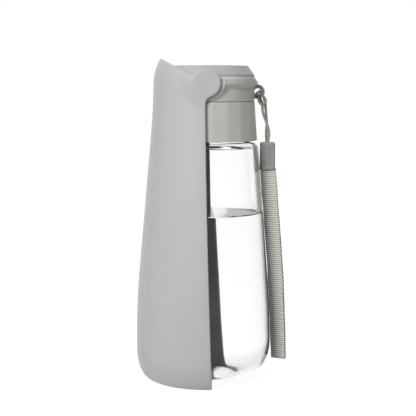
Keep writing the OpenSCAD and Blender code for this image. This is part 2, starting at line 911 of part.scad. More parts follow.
module pivot_washer(side) {
    color("white")
        mirror([0, (1 - side) / 2, 0])
            along_y(boss_y + eps, boss_y)
                difference() {
                    cylinder(r = boss_core_r, h = washer_t - eps);
                    translate([0, 0, -1])
                        cylinder(d = pin_d + 2 * fit, h = washer_t + 2);
                }
}

module pivot_washer_left() { pivot_washer(-1); }
module pivot_washer_right() { pivot_washer(1); }

module lanyard_cord() {
    color("rosybrown")
        tube(cord_route, cord_d / 2, 8);
}

module lanyard_ferrule() {
    half = [ferrule_w / 2 - ferrule_round, ferrule_h / 2 - ferrule_round];
    color("gray")
        difference() {
            translate([ferrule_x, ferrule_d / 2, (ferrule_z0 + ferrule_z1) / 2])
                rotate([90, 0, 0])
                    linear_extrude(height = ferrule_d) {
                        square([ferrule_w, 2 * half[1]], center = true);
                        square([2 * half[0], ferrule_h], center = true);
                        for (x = [-1, 1], y = [-1, 1])
                            translate([x * half[0], y * half[1]])
                                circle(r = ferrule_round);
                    }
            for (p = [cord_route[0], cord_route[len(cord_route) - 1]])
                translate([p[0], p[1], p[2] - 1])
                    cylinder(d = cord_d + 0.6, h = 4);
            translate([ferrule_x - ferrule_w, -strap_t - 0.3, ferrule_z0 - 1])
                cube([2 * ferrule_w, 2 * (strap_t + 0.3), 3]);
        }
}

// The strap runs down, turns at its end and runs back up: its two plies lie
// one behind the other.
module lanyard_strap() {
    n = len(strap_route);
    bend = strap_open;
    path = concat(
        [for (i = [0:n - 1])
            strap_route[i] - [0, strap_t / 2 + 0.05 + bend * sin(180 * i / n) / 2,
                0]],
        [for (a = [-60:30:60])
            strap_end + [0, (strap_t / 2 + 0.05) * sin(a),
                -(strap_t / 2 + 0.05) * cos(a)]],
        [for (i = [n - 1:-1:0])
            strap_route[i] + [0, strap_t / 2 + 0.05 + bend * sin(180 * i / n) / 2,
                0]]);
    m = len(path);
    rings = [for (i = [0:m - 1])
        let (d = path[min(i + 1, m - 1)] - path[max(i - 1, 0)])
        let (n_ = cross([1, 0, 0], d))
        let (u = n_ / norm(n_) * strap_t / 2)
        for (k = [[-1, -1], [1, -1], [1, 1], [-1, 1]])
            path[i] + [k[0] * strap_w / 2, 0, 0] + k[1] * u];
    color("tan")
        polyhedron(rings, concat(
            [[3, 2, 1, 0]],
            [for (i = [0:m - 2], k = [0:3])
                let (a = i * 4 + k, b = i * 4 + (k + 1) % 4)
                [a, b, b + 4, a + 4]],
            [[for (k = [0:3]) (m - 1) * 4 + k]]));
}

bottle();
water();
bottle_gasket();
grip_collar();
head_shell();
seal_band();
top_cap();
cap_screws();
valve_seat();
valve_stem();
valve_plug();
stem_clip();
valve_spring();
rocker();
rocker_pin();
water_button();
button_seal();
button_clip();
trough();
pivot_pin_left();
pivot_pin_right();
pivot_washer_left();
pivot_washer_right();
lanyard_cord();
lanyard_ferrule();
lanyard_strap();
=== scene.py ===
"""Travel water bottle with a fold-out drinking trough: its smooth skins, soft parts and finishes.

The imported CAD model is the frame. Smooth pieces stand over or in place of its main solids, the lanyard
is made as the cord and webbing that it is, and every piece gets the finish of its real material.
Lengths are millimetres in that model's frame unless a name says otherwise. +Z is up, and the trough is at -X.
"""

import logging
import math
from dataclasses import dataclass, field
from enum import Enum
from typing import Iterable, Sequence

import bmesh
import bpy
import numpy as np
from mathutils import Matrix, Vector
from mathutils.geometry import delaunay_2d_cdt


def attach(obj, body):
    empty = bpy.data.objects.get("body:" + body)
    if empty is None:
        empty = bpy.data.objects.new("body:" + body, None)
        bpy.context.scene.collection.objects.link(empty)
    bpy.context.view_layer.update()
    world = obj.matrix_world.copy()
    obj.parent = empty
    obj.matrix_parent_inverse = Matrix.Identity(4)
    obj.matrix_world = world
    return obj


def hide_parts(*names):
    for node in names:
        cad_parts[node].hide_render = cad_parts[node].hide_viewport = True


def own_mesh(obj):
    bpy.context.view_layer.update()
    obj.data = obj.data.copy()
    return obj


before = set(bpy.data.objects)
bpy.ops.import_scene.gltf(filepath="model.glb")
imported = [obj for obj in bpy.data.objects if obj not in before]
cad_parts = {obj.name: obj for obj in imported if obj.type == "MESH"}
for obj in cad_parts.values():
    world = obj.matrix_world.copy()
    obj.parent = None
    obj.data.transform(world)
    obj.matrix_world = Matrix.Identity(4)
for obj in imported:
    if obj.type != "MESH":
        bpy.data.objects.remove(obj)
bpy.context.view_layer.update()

LOG = logging.getLogger("travel_bottle")
MM = 0.001
WELD_MM = 0.002
Flat = tuple[float, float]
Point = tuple[float, float, float]
Face = tuple[int, ...]
Tree = bpy.types.NodeTree
Node = bpy.types.Node
Socket = bpy.types.NodeSocket


class Body(Enum):
    """The rigid bodies that pieces ride on."""

    HEAD = "head"
    BOTTLE = "bottle"
    TROUGH = "trough"
    BUTTON = "button"
    ROCKER = "rocker"
    VALVE = "valve"


@dataclass(frozen=True)
class Sizes:
    """Sizes that more than one sub-assembly uses.

    Args:
        pivot_z: height of the trough's hinge.
        seam_z: height of the seam between the collar and the head.
        lip_z: height of the top of the head's lip.
        lip_h: height of the lip, from its foot up.
        cap_z0: height of the cap's lower edge.
        head_r: radius of the head.
        lip_r: radius of its lip.
        ear_r: radius of a trough's ear.
        trough_floor: thickness of the trough's floor.
        gap: running gap between the trough's floor and the bottle.
        neck_r: outer radius of the bottle's neck.
        neck_wall: its wall.
        ridge_h: height of a screw ridge.
        ridge_pitch: distance between two ridges.
        ridge_up: how far the lowest ridge lies over the collar's lower edge.
        ridge_gap: clearance between a ridge and the wall that it faces.
        ridge_half: half the height of a ridge's section at its foot and at its crest.
        mouth_under: how far the bottle's mouth lies under the seam.
        collar_z0: height of the collar's lower edge.
    """

    pivot_z: float = 190.6
    seam_z: float = 178.9
    lip_z: float = 192.0
    lip_h: float = 4.7
    cap_z0: float = 195.4
    head_r: float = 30.65
    lip_r: float = 32.9
    ear_r: float = 8.8
    trough_floor: float = 1.6
    gap: float = 0.3
    neck_r: float = 27.2
    neck_wall: float = 2.3
    ridge_h: float = 0.9
    ridge_pitch: float = 5.0
    ridge_up: float = 6.4
    ridge_gap: float = 0.4
    ridge_half: Flat = (1.0, 0.45)
    mouth_under: float = 5.0
    collar_z0: float = 154.1

    @property
    def sweep_r(self) -> float:
        """Radius about the hinge that the trough's floor leaves free."""
        return self.pivot_z - self.trough_floor - self.gap

    @property
    def collar_bore(self) -> float:
        """Bore of the collar between its screw ridges."""
        return self.neck_r + self.ridge_h + self.ridge_gap

    @property
    def ridge_z0(self) -> float:
        """Height of the lowest screw ridge on the neck."""
        return self.collar_z0 + self.ridge_up

    @property
    def neck_top(self) -> float:
        """Height of the bottle's mouth."""
        return self.seam_z - self.mouth_under

    def ridge(self, wall: float, crest: float, z: float) -> list[Flat]:
        """Section of one screw ridge, from below up.

        Args:
            wall: radius of the wall that it stands on.
            crest: radius of its crest.
            z: height of its middle.

        Returns:
            Its points.
        """
        at_foot, at_crest = self.ridge_half
        return [(wall, z - at_foot), (crest, z - at_crest), (crest, z + at_crest), (wall, z + at_foot)]

    @property
    def lip_foot(self) -> float:
        """Height of the lip's foot."""
        return self.lip_z - self.lip_h


SIZES = Sizes()


# Colour and node helpers


def linear(colour: str) -> tuple[float, float, float, float]:
    """Turn an sRGB hex colour into linear RGBA.

    Args:
        colour: six hex digits, such as "C4C4C3".

    Returns:
        Linear red, green, blue and an alpha of one.
    """
    channels = [int(colour[i : i + 2], 16) / 255 for i in (0, 2, 4)]
    red, green, blue = [c / 12.92 if c <= 0.04045 else ((c + 0.055) / 1.055) ** 2.4 for c in channels]
    return red, green, blue, 1.0


def add_node(tree: Tree, kind: str, feeds: dict | None = None, **settings: object) -> Node:
    """Add a node, set its attributes and feed its inputs.

    Args:
        tree: the node tree that takes it.
        kind: the node's type, such as "ShaderNodeTexNoise".
        feeds: input name or index to a value, to an output socket or to a node, whose first output it is.
        settings: attributes of the node itself.

    Returns:
        The new node.
    """
    node = tree.nodes.new(kind)
    for name, value in settings.items():
        setattr(node, name, value)
    for name, value in (feeds or {}).items():
        if isinstance(value, Node):
            value = value.outputs[0]
        if isinstance(value, Socket):
            tree.links.new(value, node.inputs[name])
        else:
            node.inputs[name].default_value = value
    return node


# Finishes


@dataclass(frozen=True)
class Finish:
    """A real material and how its surface was made.

    Args:
        name: name of the Blender material.
        slot: the record's material slot; not used.
        colour: its base colour as sRGB hex.
        roughness: roughness of the clean surface.
        ior: index of refraction.
    """

    name: str
    slot: str
    colour: str
    roughness: float = 0.5
    ior: float = 1.49

    def material(self) -> bpy.types.Material:
        """The finish's material, made once.

        Returns:
            The material with its node tree.
        """
        made = bpy.data.materials.get(self.name)
        if made is not None:
            return made
        made = bpy.data.materials.new(self.name)
        made.use_nodes = True
        made.diffuse_color = linear(self.colour)
        tree = made.node_tree
        tree.nodes.clear()
        feeds = {"Base Color": linear(self.colour), "Roughness": self.roughness, "IOR": self.ior}
        shader = add_node(tree, "ShaderNodeBsdfPrincipled", feeds)
        add_node(tree, "ShaderNodeOutputMaterial", {"Surface": shader.outputs["BSDF"]})
        self.dress(tree, shader)
        return made

    def dress(self, tree: Tree, shader: Node) -> None:
        """Add the finish's pattern to its shader.

        Args:
            tree: the material's node tree.
            shader: its Principled shader.
        """
        raise NotImplementedError

    def noise(
        self,
        tree: Tree,
        size_mm: float,
        detail: float,
        rough: float = 0.5,
        stretch: Point | None = None,
    ) -> Socket:
        """Noise in the piece's own space.

        Args:
            tree: the material's node tree.
            size_mm: width of its features.
            detail: number of finer layers on top.
            rough: how strong the finer layers are.
            stretch: scale of the space along X, Y and Z, or None to leave it as it is.

        Returns:
            The noise's output socket.
        """
        place = add_node(tree, "ShaderNodeTexCoord").outputs["Object"]
        if stretch:
            place = add_node(tree, "ShaderNodeMapping", {"Vector": place, "Scale": stretch}).outputs["Vector"]
        feeds = {"Vector": place, "Scale": 1 / (size_mm * MM), "Detail": detail, "Roughness": rough}
        return add_node(tree, "ShaderNodeTexNoise", feeds).outputs["Fac"]

    def mottle(self, tree: Tree, size_mm: float, depth: float) -> Socket:
        """Colour that drifts a little darker and lighter, as pigment does in a moulding.

        Args:
            tree: the material's node tree.
            size_mm: width of the drifts.
            depth: how much darker the dark drifts are, from 0 to 1.

        Returns:
            The colour's output socket.
        """
        drift = self.noise(tree, size_mm, detail=3.0, rough=0.55)
        ramp = add_node(tree, "ShaderNodeValToRGB", {"Fac": drift})
        for element, at, share in zip(ramp.color_ramp.elements, (0.3, 0.7), (1 - depth, 1 + depth)):
            element.position = at
            element.color = (*(min(1.0, c * share) for c in linear(self.colour)[:3]), 1.0)
        return ramp.outputs["Color"]


@dataclass(frozen=True)
class Moulded(Finish):
    """Anything from a spark-eroded mould, whose fine grain breaks the gloss into an even satin.

    Args:
        grain_mm: width of the mould's grain, drawn coarser than the real 0.1 mm so that it shows.
        relief_mm: height of the grain.
        drift: how much the colour drifts.
        drift_mm: width of the drifts.
        edge_mm: radius that the tool rounds the edges to, or 0 where the mesh has its own.
    """

    grain_mm: float = 0.5
    relief_mm: float = 0.004
    drift: float = 0.02
    drift_mm: float = 22.0
    edge_mm: float = 0.0

    def dress(self, tree: Tree, shader: Node) -> None:
        """Drifting pigment, and the mould's grain over its rounded edges.

        Args:
            tree: the material's node tree.
            shader: its Principled shader.
        """
        tree.links.new(self.mottle(tree, self.drift_mm, self.drift), shader.inputs["Base Color"])
        relief = self.noise(tree, self.grain_mm, detail=2.0, rough=0.6)
        feeds = {"Height": relief, "Distance": self.relief_mm * MM, "Strength": 1.0}
        if self.edge_mm:
            edge = add_node(tree, "ShaderNodeBevel", {"Radius": self.edge_mm * MM}, samples=4)
            feeds["Normal"] = edge.outputs["Normal"]
        bump = add_node(tree, "ShaderNodeBump", feeds)
        tree.links.new(bump.outputs["Normal"], shader.inputs["Normal"])


@dataclass(frozen=True)
class MouldedPlastic(Moulded):
    """Opaque injection-moulded plastic, a little polished and dulled by handling.

    Args:
        handled_mm: width of the patches that handling has polished or dulled.
        handled: how far their roughness lies from the clean surface's.
    """

    handled_mm: float = 9.0
    handled: Flat = (-0.04, 0.05)

    def dress(self, tree: Tree, shader: Node) -> None:
        """The moulded surface and a roughness that wanders a little.

        Args:
            tree: the material's node tree.
            shader: its Principled shader.
        """
        super().dress(tree, shader)
        feeds = {"Value": self.noise(tree, self.handled_mm, detail=4.0), "From Min": 0.3, "From Max": 0.7}
        polished, dulled = self.handled
        feeds |= {"To Min": self.roughness + polished, "To Max": self.roughness + dulled}
        gloss = add_node(tree, "ShaderNodeMapRange", feeds)
        tree.links.new(gloss.outputs["Result"], shader.inputs["Roughness"])


@dataclass(frozen=True)
class EyeletShadedPlastic(MouldedPlastic):
    """The head's plastic, with painted shade that darkens its colour out towards the eyelet.

    Args:
        shade_x_mm: how far out the painted shade starts.
        shade_soft_mm: half the width over which it fades in.
        shade_colour: colour of the painted shade.
    """

    shade_x_mm: float = 31.2
    shade_soft_mm: float = 0.5
    shade_colour: str = "8F8F89"

    def mottle(self, tree: Tree, size_mm: float, depth: float) -> Socket:
        """The drifting pigment, with painted shade darkening it towards the eyelet.

        Args:
            tree: the material's node tree.
            size_mm: width of the drifts.
            depth: how much darker the dark drifts are, from 0 to 1.

        Returns:
            The colour's output socket.
        """
        clean = super().mottle(tree, size_mm, depth)
        # Painted shade: out towards the eyelet the colour fades to a darker grey.
        place = add_node(tree, "ShaderNodeTexCoord")
        split = add_node(tree, "ShaderNodeSeparateXYZ", {"Vector": place.outputs["Object"]})
        low, high = (self.shade_x_mm + way * self.shade_soft_mm for way in (-1, 1))
        feeds = {"Value": split.outputs["X"], "From Min": low * MM, "From Max": high * MM}
        share = add_node(tree, "ShaderNodeMapRange", feeds, interpolation_type="SMOOTHSTEP")
        feeds = {0: share, 6: clean, 7: linear(self.shade_colour)}
        return add_node(tree, "ShaderNodeMix", feeds, data_type="RGBA").outputs[2]


@dataclass(frozen=True)
class MouldedSilicone(Moulded):
    """Silicone rubber from a matt mould: light enters it a little, so its edges look soft.

    Args:
        grain_mm: width of its finer grain.
        relief_mm: height of the grain.
        drift_mm: width of its narrower drifts.
        edge_mm: radius of its rounded edges.
        entering: share of the light that enters.
        reach_mm: how far red, green and blue light travels in it.
    """

    grain_mm: float = 0.3
    relief_mm: float = 0.003
    drift_mm: float = 6.0
    edge_mm: float = 0.15
    entering: float = 0.25
    reach_mm: Point = (1.2, 1.1, 1.0)

    def dress(self, tree: Tree, shader: Node) -> None:
        """The moulded surface and soft scattering under it.

        Args:
            tree: the material's node tree.
            shader: its Principled shader.
        """
        super().dress(tree, shader)
        shader.inputs["Subsurface Weight"].default_value = self.entering
        shader.inputs["Subsurface Radius"].default_value = [reach * MM for reach in self.reach_mm]
        shader.inputs["Subsurface Scale"].default_value = 1.0


@dataclass(frozen=True)
class ClearMoulding(Finish):
    """Clear blow-moulded copolyester: glossy, with a slow ripple that bends what is seen through it.

    Args:
        ripple_mm: width of the ripples round the wall.
        ripple_height_mm: height of the ripples.
        stretch: how much closer they stand round the wall than down it.
        scattered: grey tint of the wall for light that has already scattered off a surface, which paints
            shade on what stands behind it.
    """

    ripple_mm: float = 14.0
    ripple_height_mm: float = 0.02
    stretch: float = 0.16
    scattered: float = 0.55

    def dress(self, tree: Tree, shader: Node) -> None:
        """Full transmission and ripples that run down the wall, as the parison was stretched.

        Painted shade: the wall is tinted grey only for light that has already scattered off a surface, so
        what stands behind it looks dark.

        Args:
            tree: the material's node tree.
            shader: its Principled shader.
        """
        shader.inputs["Transmission Weight"].default_value = 1.0
        # Painted shade: grey tint for scattered light only, darkening what lies behind the wall.
        ray = add_node(tree, "ShaderNodeLightPath")
        feeds = {"Value": ray.outputs["Diffuse Depth"], "To Min": 1.0, "To Max": self.scattered}
        clear = add_node(tree, "ShaderNodeMapRange", feeds)
        tree.links.new(clear.outputs["Result"], shader.inputs["Base Color"])
        ripple = self.noise(tree, self.ripple_mm, detail=1.0, stretch=(1.0, 1.0, self.stretch))
        feeds = {"Height": ripple, "Distance": self.ripple_height_mm * MM, "Strength": 1.0}
        bump = add_node(tree, "ShaderNodeBump", feeds)
        tree.links.new(bump.outputs["Normal"], shader.inputs["Normal"])


@dataclass(frozen=True)
class StillWater(Finish):
    """Drinking water at rest: clear, mirror-smooth, with the faintest swell on its surface.

    Args:
        swell_mm: width of the swell.
        swell_height_mm: its height.
    """

    swell_mm: float = 12.0
    swell_height_mm: float = 0.01

    def dress(self, tree: Tree, shader: Node) -> None:
        """Full transmission and a swell too low to see but for its reflections.

        Args:
            tree: the material's node tree.
            shader: its Principled shader.
        """
        shader.inputs["Transmission Weight"].default_value = 1.0
        swell = self.noise(tree, self.swell_mm, detail=0.0)
        feeds = {"Height": swell, "Distance": self.swell_height_mm * MM, "Strength": 1.0}
        bump = add_node(tree, "ShaderNodeBump", feeds)
        tree.links.new(bump.outputs["Normal"], shader.inputs["Normal"])


@dataclass(frozen=True)
class DrawnSteel(Finish):
    """Stainless steel drawn to wire or cold headed: bright, with fine marks along the draw.

    Args:
        mark_mm: width of the draw marks.
        stretch: their width as a share of their length.
        gloss: how far the roughness between the marks and in them lies from the mean.
        drift: how much the colour drifts.
        drift_mm: width of the drifts.
    """

    mark_mm: float = 0.4
    stretch: float = 0.1
    gloss: Flat = (-0.06, 0.08)
    drift: float = 0.03
    drift_mm: float = 3.0

    def dress(self, tree: Tree, shader: Node) -> None:
        """Metal with long, fine draw marks in its gloss.

        Args:
            tree: the material's node tree.
            shader: its Principled shader.
        """
        shader.inputs["Metallic"].default_value = 1.0
        marks = self.noise(tree, self.mark_mm, detail=3.0, stretch=(1.0, self.stretch, 1.0))
        smooth, scored = self.gloss
        feeds = {"Value": marks, "To Min": self.roughness + smooth, "To Max": self.roughness + scored}
        gloss = add_node(tree, "ShaderNodeMapRange", feeds)
        tree.links.new(gloss.outputs["Result"], shader.inputs["Roughness"])
        tree.links.new(self.mottle(tree, self.drift_mm, self.drift), shader.inputs["Base Color"])


@dataclass(frozen=True)
class Yarn(Finish):
    """Polyester yarn laid in a pattern: its own colour where it stands up, and painted shade in the gaps
    between.

    The mesh's UV map holds millimetres.

    Args:
        gap_shade: colour of the painted shade deep between the yarns.
        fibres_per_mm: how close the single fibres lie, coarser than life so that they show.
        relief_mm: height of the pattern.
        strength: how strongly the relief catches the light.
        shades: height, from 0 to 1, that still has the painted gap shade, and that first has the yarn's
            colour.
    """

    gap_shade: str = "45413B"
    fibres_per_mm: float = 3.5
    relief_mm: float = 0.12
    strength: float = 0.8
    shades: Flat = (0.02, 0.4)

    def fibres(self, tree: Tree, uv: Socket) -> Socket:
        """Light and dark single fibres, over the UV map."""
        feeds = {"Vector": uv, "Scale": self.fibres_per_mm, "Detail": 3.0}
        return add_node(tree, "ShaderNodeTexNoise", feeds).outputs["Fac"]

    def lay(self, tree: Tree, shader: Node, tone: Socket, height: Socket) -> None:
        """Give the pattern its colours, with painted shade where it lies low, and its relief.

        Args:
            tree: the material's node tree.
            shader: its Principled shader.
            tone: how light the yarn is, painted gap shade included.
            height: how high it stands.
        """
        # Painted shade: the low parts of the pattern take the dark gap colour.
        ramp = add_node(tree, "ShaderNodeValToRGB", {"Fac": tone})
        colours = (self.gap_shade, self.colour)
        for element, at, colour in zip(ramp.color_ramp.elements, self.shades, colours):
            element.position = at
            element.color = linear(colour)
        tree.links.new(ramp.outputs["Color"], shader.inputs["Base Color"])
        feeds = {"Height": height, "Distance": self.relief_mm * MM, "Strength": self.strength}
        bump = add_node(tree, "ShaderNodeBump", feeds)
        tree.links.new(bump.outputs["Normal"], shader.inputs["Normal"])


@dataclass(frozen=True)
class BraidedYarn(Yarn):
    """Braided cord: bundles of yarn cross in two directions. U runs along the cord and V round it.

    Args:
        bundle_mm: length of one bundle along the cord.
        bundles: how many stand side by side round the cord.
        around_mm: distance round the cord.
    """

    bundle_mm: float = 1.3
    bundles: int = 4
    around_mm: float = 5.34

    def dress(self, tree: Tree, shader: Node) -> None:
        """Two crossing sets of bundles as relief, and as colour with painted shade between them.

        Args:
            tree: the material's node tree.
            shader: its Principled shader.
        """
        uv = add_node(tree, "ShaderNodeUVMap", uv_map="millimetres").outputs["UV"]
        split = add_node(tree, "ShaderNodeSeparateXYZ", {"Vector": uv})
        turns = []
        for axis, step in (("Y", self.around_mm / self.bundles), ("X", self.bundle_mm)):
            feeds = {0: split.outputs[axis], 1: math.tau / step}
            turns.append(add_node(tree, "ShaderNodeMath", feeds, operation="MULTIPLY").outputs[0])
        crests = []
        for way in ("ADD", "SUBTRACT"):
            crossed = add_node(tree, "ShaderNodeMath", {0: turns[0], 1: turns[1]}, operation=way)
            wave = add_node(tree, "ShaderNodeMath", {0: crossed}, operation="SINE")
            crests.append(wave.outputs[0])
        feeds = {0: crests[0], 1: crests[1]}
        height = add_node(tree, "ShaderNodeMath", feeds, operation="MAXIMUM").outputs[0]
        shade = add_node(tree, "ShaderNodeMath", {0: height, 1: self.fibres(tree, uv)}, operation="MULTIPLY")
        self.lay(tree, shader, shade.outputs[0], height)


@dataclass(frozen=True)
class WovenWebbing(Yarn):
    """Plain-woven webbing: thick threads pass over and under, so light nubs stand in rows of painted shade.

    U runs across the strap and V along it.

    Args:
        thread_mm: half the distance between the nubs of a row, and the distance between the rows.
        row_share: how much of the relief runs straight across the strap.
        nub_at: where a nub's slope starts and ends on the weave's wave, which runs from -1 to 1.
        worn: brightness of the darkest fibres.
        selvedge_mm: width of the tighter, darker edge.
        edge_shade: brightness of that edge.
        width_mm: width of the strap.
        fuzz: strength and roughness of the sheen from loose fibres.
    """

    thread_mm: Flat = (0.85, 1.4)
    row_share: float = 0.45
    nub_at: Flat = (-0.8, 0.3)
    worn: float = 0.8
    selvedge_mm: float = 0.9
    edge_shade: float = 0.8
    width_mm: float = 10.0
    fuzz: Flat = (0.2, 0.5)

    def dress(self, tree: Tree, shader: Node) -> None:
        """Rows of nubs set half a step apart, as relief and as colour with painted shade between them, with
        darker selvedges.

        Args:
            tree: the material's node tree.
            shader: its Principled shader.
        """
        uv = add_node(tree, "ShaderNodeUVMap", uv_map="millimetres").outputs["UV"]
        split = add_node(tree, "ShaderNodeSeparateXYZ", {"Vector": uv})
        waves = []
        for axis, thread in zip(("X", "Y"), self.thread_mm):
            feeds = {0: split.outputs[axis], 1: math.pi / thread}
            turns = add_node(tree, "ShaderNodeMath", feeds, operation="MULTIPLY")
            wave = add_node(tree, "ShaderNodeMath", {0: turns}, operation="SINE")
            waves.append(wave.outputs[0])
        crossed, square = (
            add_node(tree, "ShaderNodeMath", {0: wave, 1: waves[1]}, operation="MULTIPLY") for wave in waves
        )
        rows = add_node(tree, "ShaderNodeMath", {0: square, 1: 2.0, 2: -1.0}, operation="MULTIPLY_ADD")
        both = add_node(tree, "ShaderNodeMix", {0: self.row_share, 2: crossed, 3: rows}, data_type="FLOAT")
        feeds = {"Value": both, "From Min": self.nub_at[0], "From Max": self.nub_at[1]}
        nubs = add_node(tree, "ShaderNodeMapRange", feeds, interpolation_type="SMOOTHSTEP").outputs[0]
        feeds = {"Value": self.fibres(tree, uv), "From Min": 0.3, "From Max": 0.7}
        worn = add_node(tree, "ShaderNodeMapRange", feeds | {"To Min": self.worn, "To Max": 1.0})
        shade = add_node(tree, "ShaderNodeMath", {0: nubs, 1: worn}, operation="MULTIPLY")
        half = self.width_mm / 2
        middle = add_node(tree, "ShaderNodeMath", {0: split.outputs["X"], 1: half}, operation="SUBTRACT")
        out = add_node(tree, "ShaderNodeMath", {0: middle}, operation="ABSOLUTE")
        feeds = {"Value": out, "From Min": half - self.selvedge_mm, "From Max": half}
        edge = add_node(tree, "ShaderNodeMapRange", feeds | {"To Min": 1.0, "To Max": self.edge_shade})
        tone = add_node(tree, "ShaderNodeMath", {0: shade, 1: edge}, operation="MULTIPLY")
        self.lay(tree, shader, tone.outputs[0], nubs)
        for name, value in zip(("Weight", "Roughness"), self.fuzz):
            shader.inputs[f"Sheen {name}"].default_value = value


# The trough: even, satin light over big curves, since the moulded grain spreads each reflection.
TROUGH_PLASTIC = MouldedPlastic("grey polypropylene, satin moulded", "grey_polypropylene", "B6B7B6", 0.42)
# Head and collar: the same satin, from a warmer pigment.
HEAD_PLASTIC = MouldedPlastic("warm grey polypropylene, satin moulded", "head_polypropylene", "BDBEB8", 0.4)
# The cap: its edges catch a thin line of light, as the tool rounds them.
CAP_PLASTIC = MouldedPlastic(
    "grey polypropylene, tool edges", "head_polypropylene", "B2B2AF", 0.4, edge_mm=0.25
)
# The eyelet: painted shade that darkens it.
EYELET_PLASTIC = EyeletShadedPlastic(
    "warm grey polypropylene, with painted shade at the eyelet", "head_polypropylene", "BDBEB8", 0.4, edge_mm=0.25
)
# The seal band: soft and dusty, a shade cooler than the plastic round it.
BAND_SILICONE = MouldedSilicone("grey silicone, matt moulded", "seal_silicone", "D6D6D7", 0.5, 1.43)
# Gasket, seat and plug: milky, food-grade rubber.
GASKET_SILICONE = MouldedSilicone("clear silicone, matt moulded", "clear_silicone", "D8D8D6", 0.45, 1.43)
# The bottle: crisp reflections and dark refracted edges, a slow ripple down the wall, and a grey tint for
# scattered light that paints shade behind it.
BOTTLE_PLASTIC = ClearMoulding("copolyester, blow moulded clear", "clear_copolyester", "FFFFFF", 0.0, 1.54)
# The water: no colour of its own, a thin bright line at its level.
WATER = StillWater("drinking water, still", "drinking_water", "FFFFFF", 0.0, 1.333)
# Stem, rocker and washers: slippery white engineering plastic, smoother than the casing.
VALVE_ACETAL = MouldedPlastic("acetal, moulded", "white_acetal", "E6E5E1", 0.35, 1.48, edge_mm=0.15)
# The button: darker than the head, so that a thumb finds it.
BUTTON_PLASTIC = MouldedPlastic(
    "dark grey polypropylene, moulded", "button_plastic", "6E6F70", 0.4, edge_mm=0.3
)
# Pins, clips, screws and spring: bright metal with fine marks along the draw.
STEEL = DrawnSteel("stainless steel, drawn", "stainless_steel", "C8C6C2", 0.28)
# The cord: light yarn bundles, with painted shade in the gaps between them.
CORD_YARN = BraidedYarn("polyester cord, braided", "braided_cord", "CEC5B8", 0.75)
# The strap: rows of light nubs, painted shade in the gaps, and a faint fuzz.
STRAP_WEAVE = WovenWebbing(
    "polyester webbing, plain woven",
    "woven_strap",
    "F0ECE4",
    0.8,
    gap_shade="615C55",
    fibres_per_mm=1.6,
    relief_mm=0.3,
    strength=0.7,
    shades=(0.05, 0.85),
)
# The ferrule: denser and a little glossier than polypropylene.
FERRULE_PLASTIC = MouldedPlastic("grey nylon, moulded", "ferrule_plastic", "959694", 0.45, 1.53)


# Mesh helpers


def piece(
    name: str,
    points: Sequence[Sequence[float]] | np.ndarray,
    faces: Iterable[Face],
    finish: Finish,
    body: Body,
    stands_for: Sequence[str] = (),
    sharp_deg: float | None = None,
    uv: Sequence[Sequence[Flat]] | None = None,
) -> bpy.types.Object:
    """Make a mesh piece, dress it and let it ride on its body.

    Args:
        name: the piece's name.
        points: its points in millimetres.
        faces: its faces as point numbers.
        finish: its finish.
        body: the body that carries it.
        stands_for: CAD nodes that it replaces.
        sharp_deg: edges bent more than this stay sharp, or None for a mesh that is smooth all over.
        uv: a UV pair for each corner of each face, in millimetres, where the finish needs it.

    Returns:
        The piece.
    """
    mesh = bpy.data.meshes.new(name)
    scaled = (np.asarray(points, float) * MM).tolist()
    mesh.from_pydata(scaled, [], [tuple(int(i) for i in face) for face in faces])
    if uv is not None:
        layer = mesh.uv_layers.new(name="millimetres")
        layer.data.foreach_set("uv", [c for corner in uv for pair in corner for c in pair])
    work = bmesh.new()
    work.from_mesh(mesh)
    bmesh.ops.remove_doubles(work, verts=work.verts, dist=WELD_MM * MM)
    bmesh.ops.recalc_face_normals(work, faces=work.faces)
    work.to_mesh(mesh)
    work.free()
    mesh.shade_smooth()
    if sharp_deg is not None:
        mesh.set_sharp_from_angle(angle=math.radians(sharp_deg))
    mesh.materials.append(finish.material())
    made = bpy.data.objects.new(name, mesh)
    bpy.context.scene.collection.objects.link(made)
    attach(made, body.value)
    if stands_for:
        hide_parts(*stands_for)
    LOG.info("%s: %d points, %d faces", name, len(mesh.vertices), len(mesh.polygons))
    return made


def ring_faces(rows: int, columns: int, close_rows: bool = False, close_columns: bool = True) -> list[Face]:
    """Faces of a grid of points, numbered row by row.

    Args:
        rows: number of rows.
        columns: number of points in a row.
        close_rows: join the last row to the first.
        close_columns: join the last column to the first.

    Returns:
        Its four-sided faces.
    """
    faces = []
    for i in range(rows if close_rows else rows - 1):
        for j in range(columns if close_columns else columns - 1):
            here, there = i * columns, (i + 1) % rows * columns
            step = (j + 1) % columns
            faces.append((here + j, here + step, there + step, there + j))
    return faces


def tube_faces(rows: int, columns: int) -> list[Face]:
    """Faces of a tube of points, numbered row by row, with a flat face over each end.

    Args:
        rows: number of rows.
        columns: number of points round the tube.

    Returns:
        Its side faces, then its two ends.
    """
    last = (rows - 1) * columns
    return ring_faces(rows, columns) + [tuple(range(columns)), tuple(last + k for k in range(columns))]


def tube_uv(run: np.ndarray, spans: Sequence[Flat], along_v: bool = False) -> list[list[Flat]]:
    """UV pairs for the faces of a tube, in the order of tube_faces().

    Args:
        run: how far along the tube each row lies.
        spans: where the faces of each column start and end, round the tube.
        along_v: the tube's length lies along V, and not along U.

    Returns:
        The pairs of each face.
    """
    pairs = [
        [(here, low), (here, high), (there, high), (there, low)]
        for here, there in zip(run, run[1:])
        for low, high in spans
    ]
    pairs += [[(end, 0.0)] * len(spans) for end in (0.0, run[-1])]
    return [[(v, u) for u, v in face] for face in pairs] if along_v else pairs


def level_ring(radii: np.ndarray | float, turns: np.ndarray, z: float) -> list[Point]:
    """Points round the Z axis at one height."""
    return [(r * math.cos(t), r * math.sin(t), z) for r, t in zip(np.broadcast_to(radii, len(turns)), turns)]


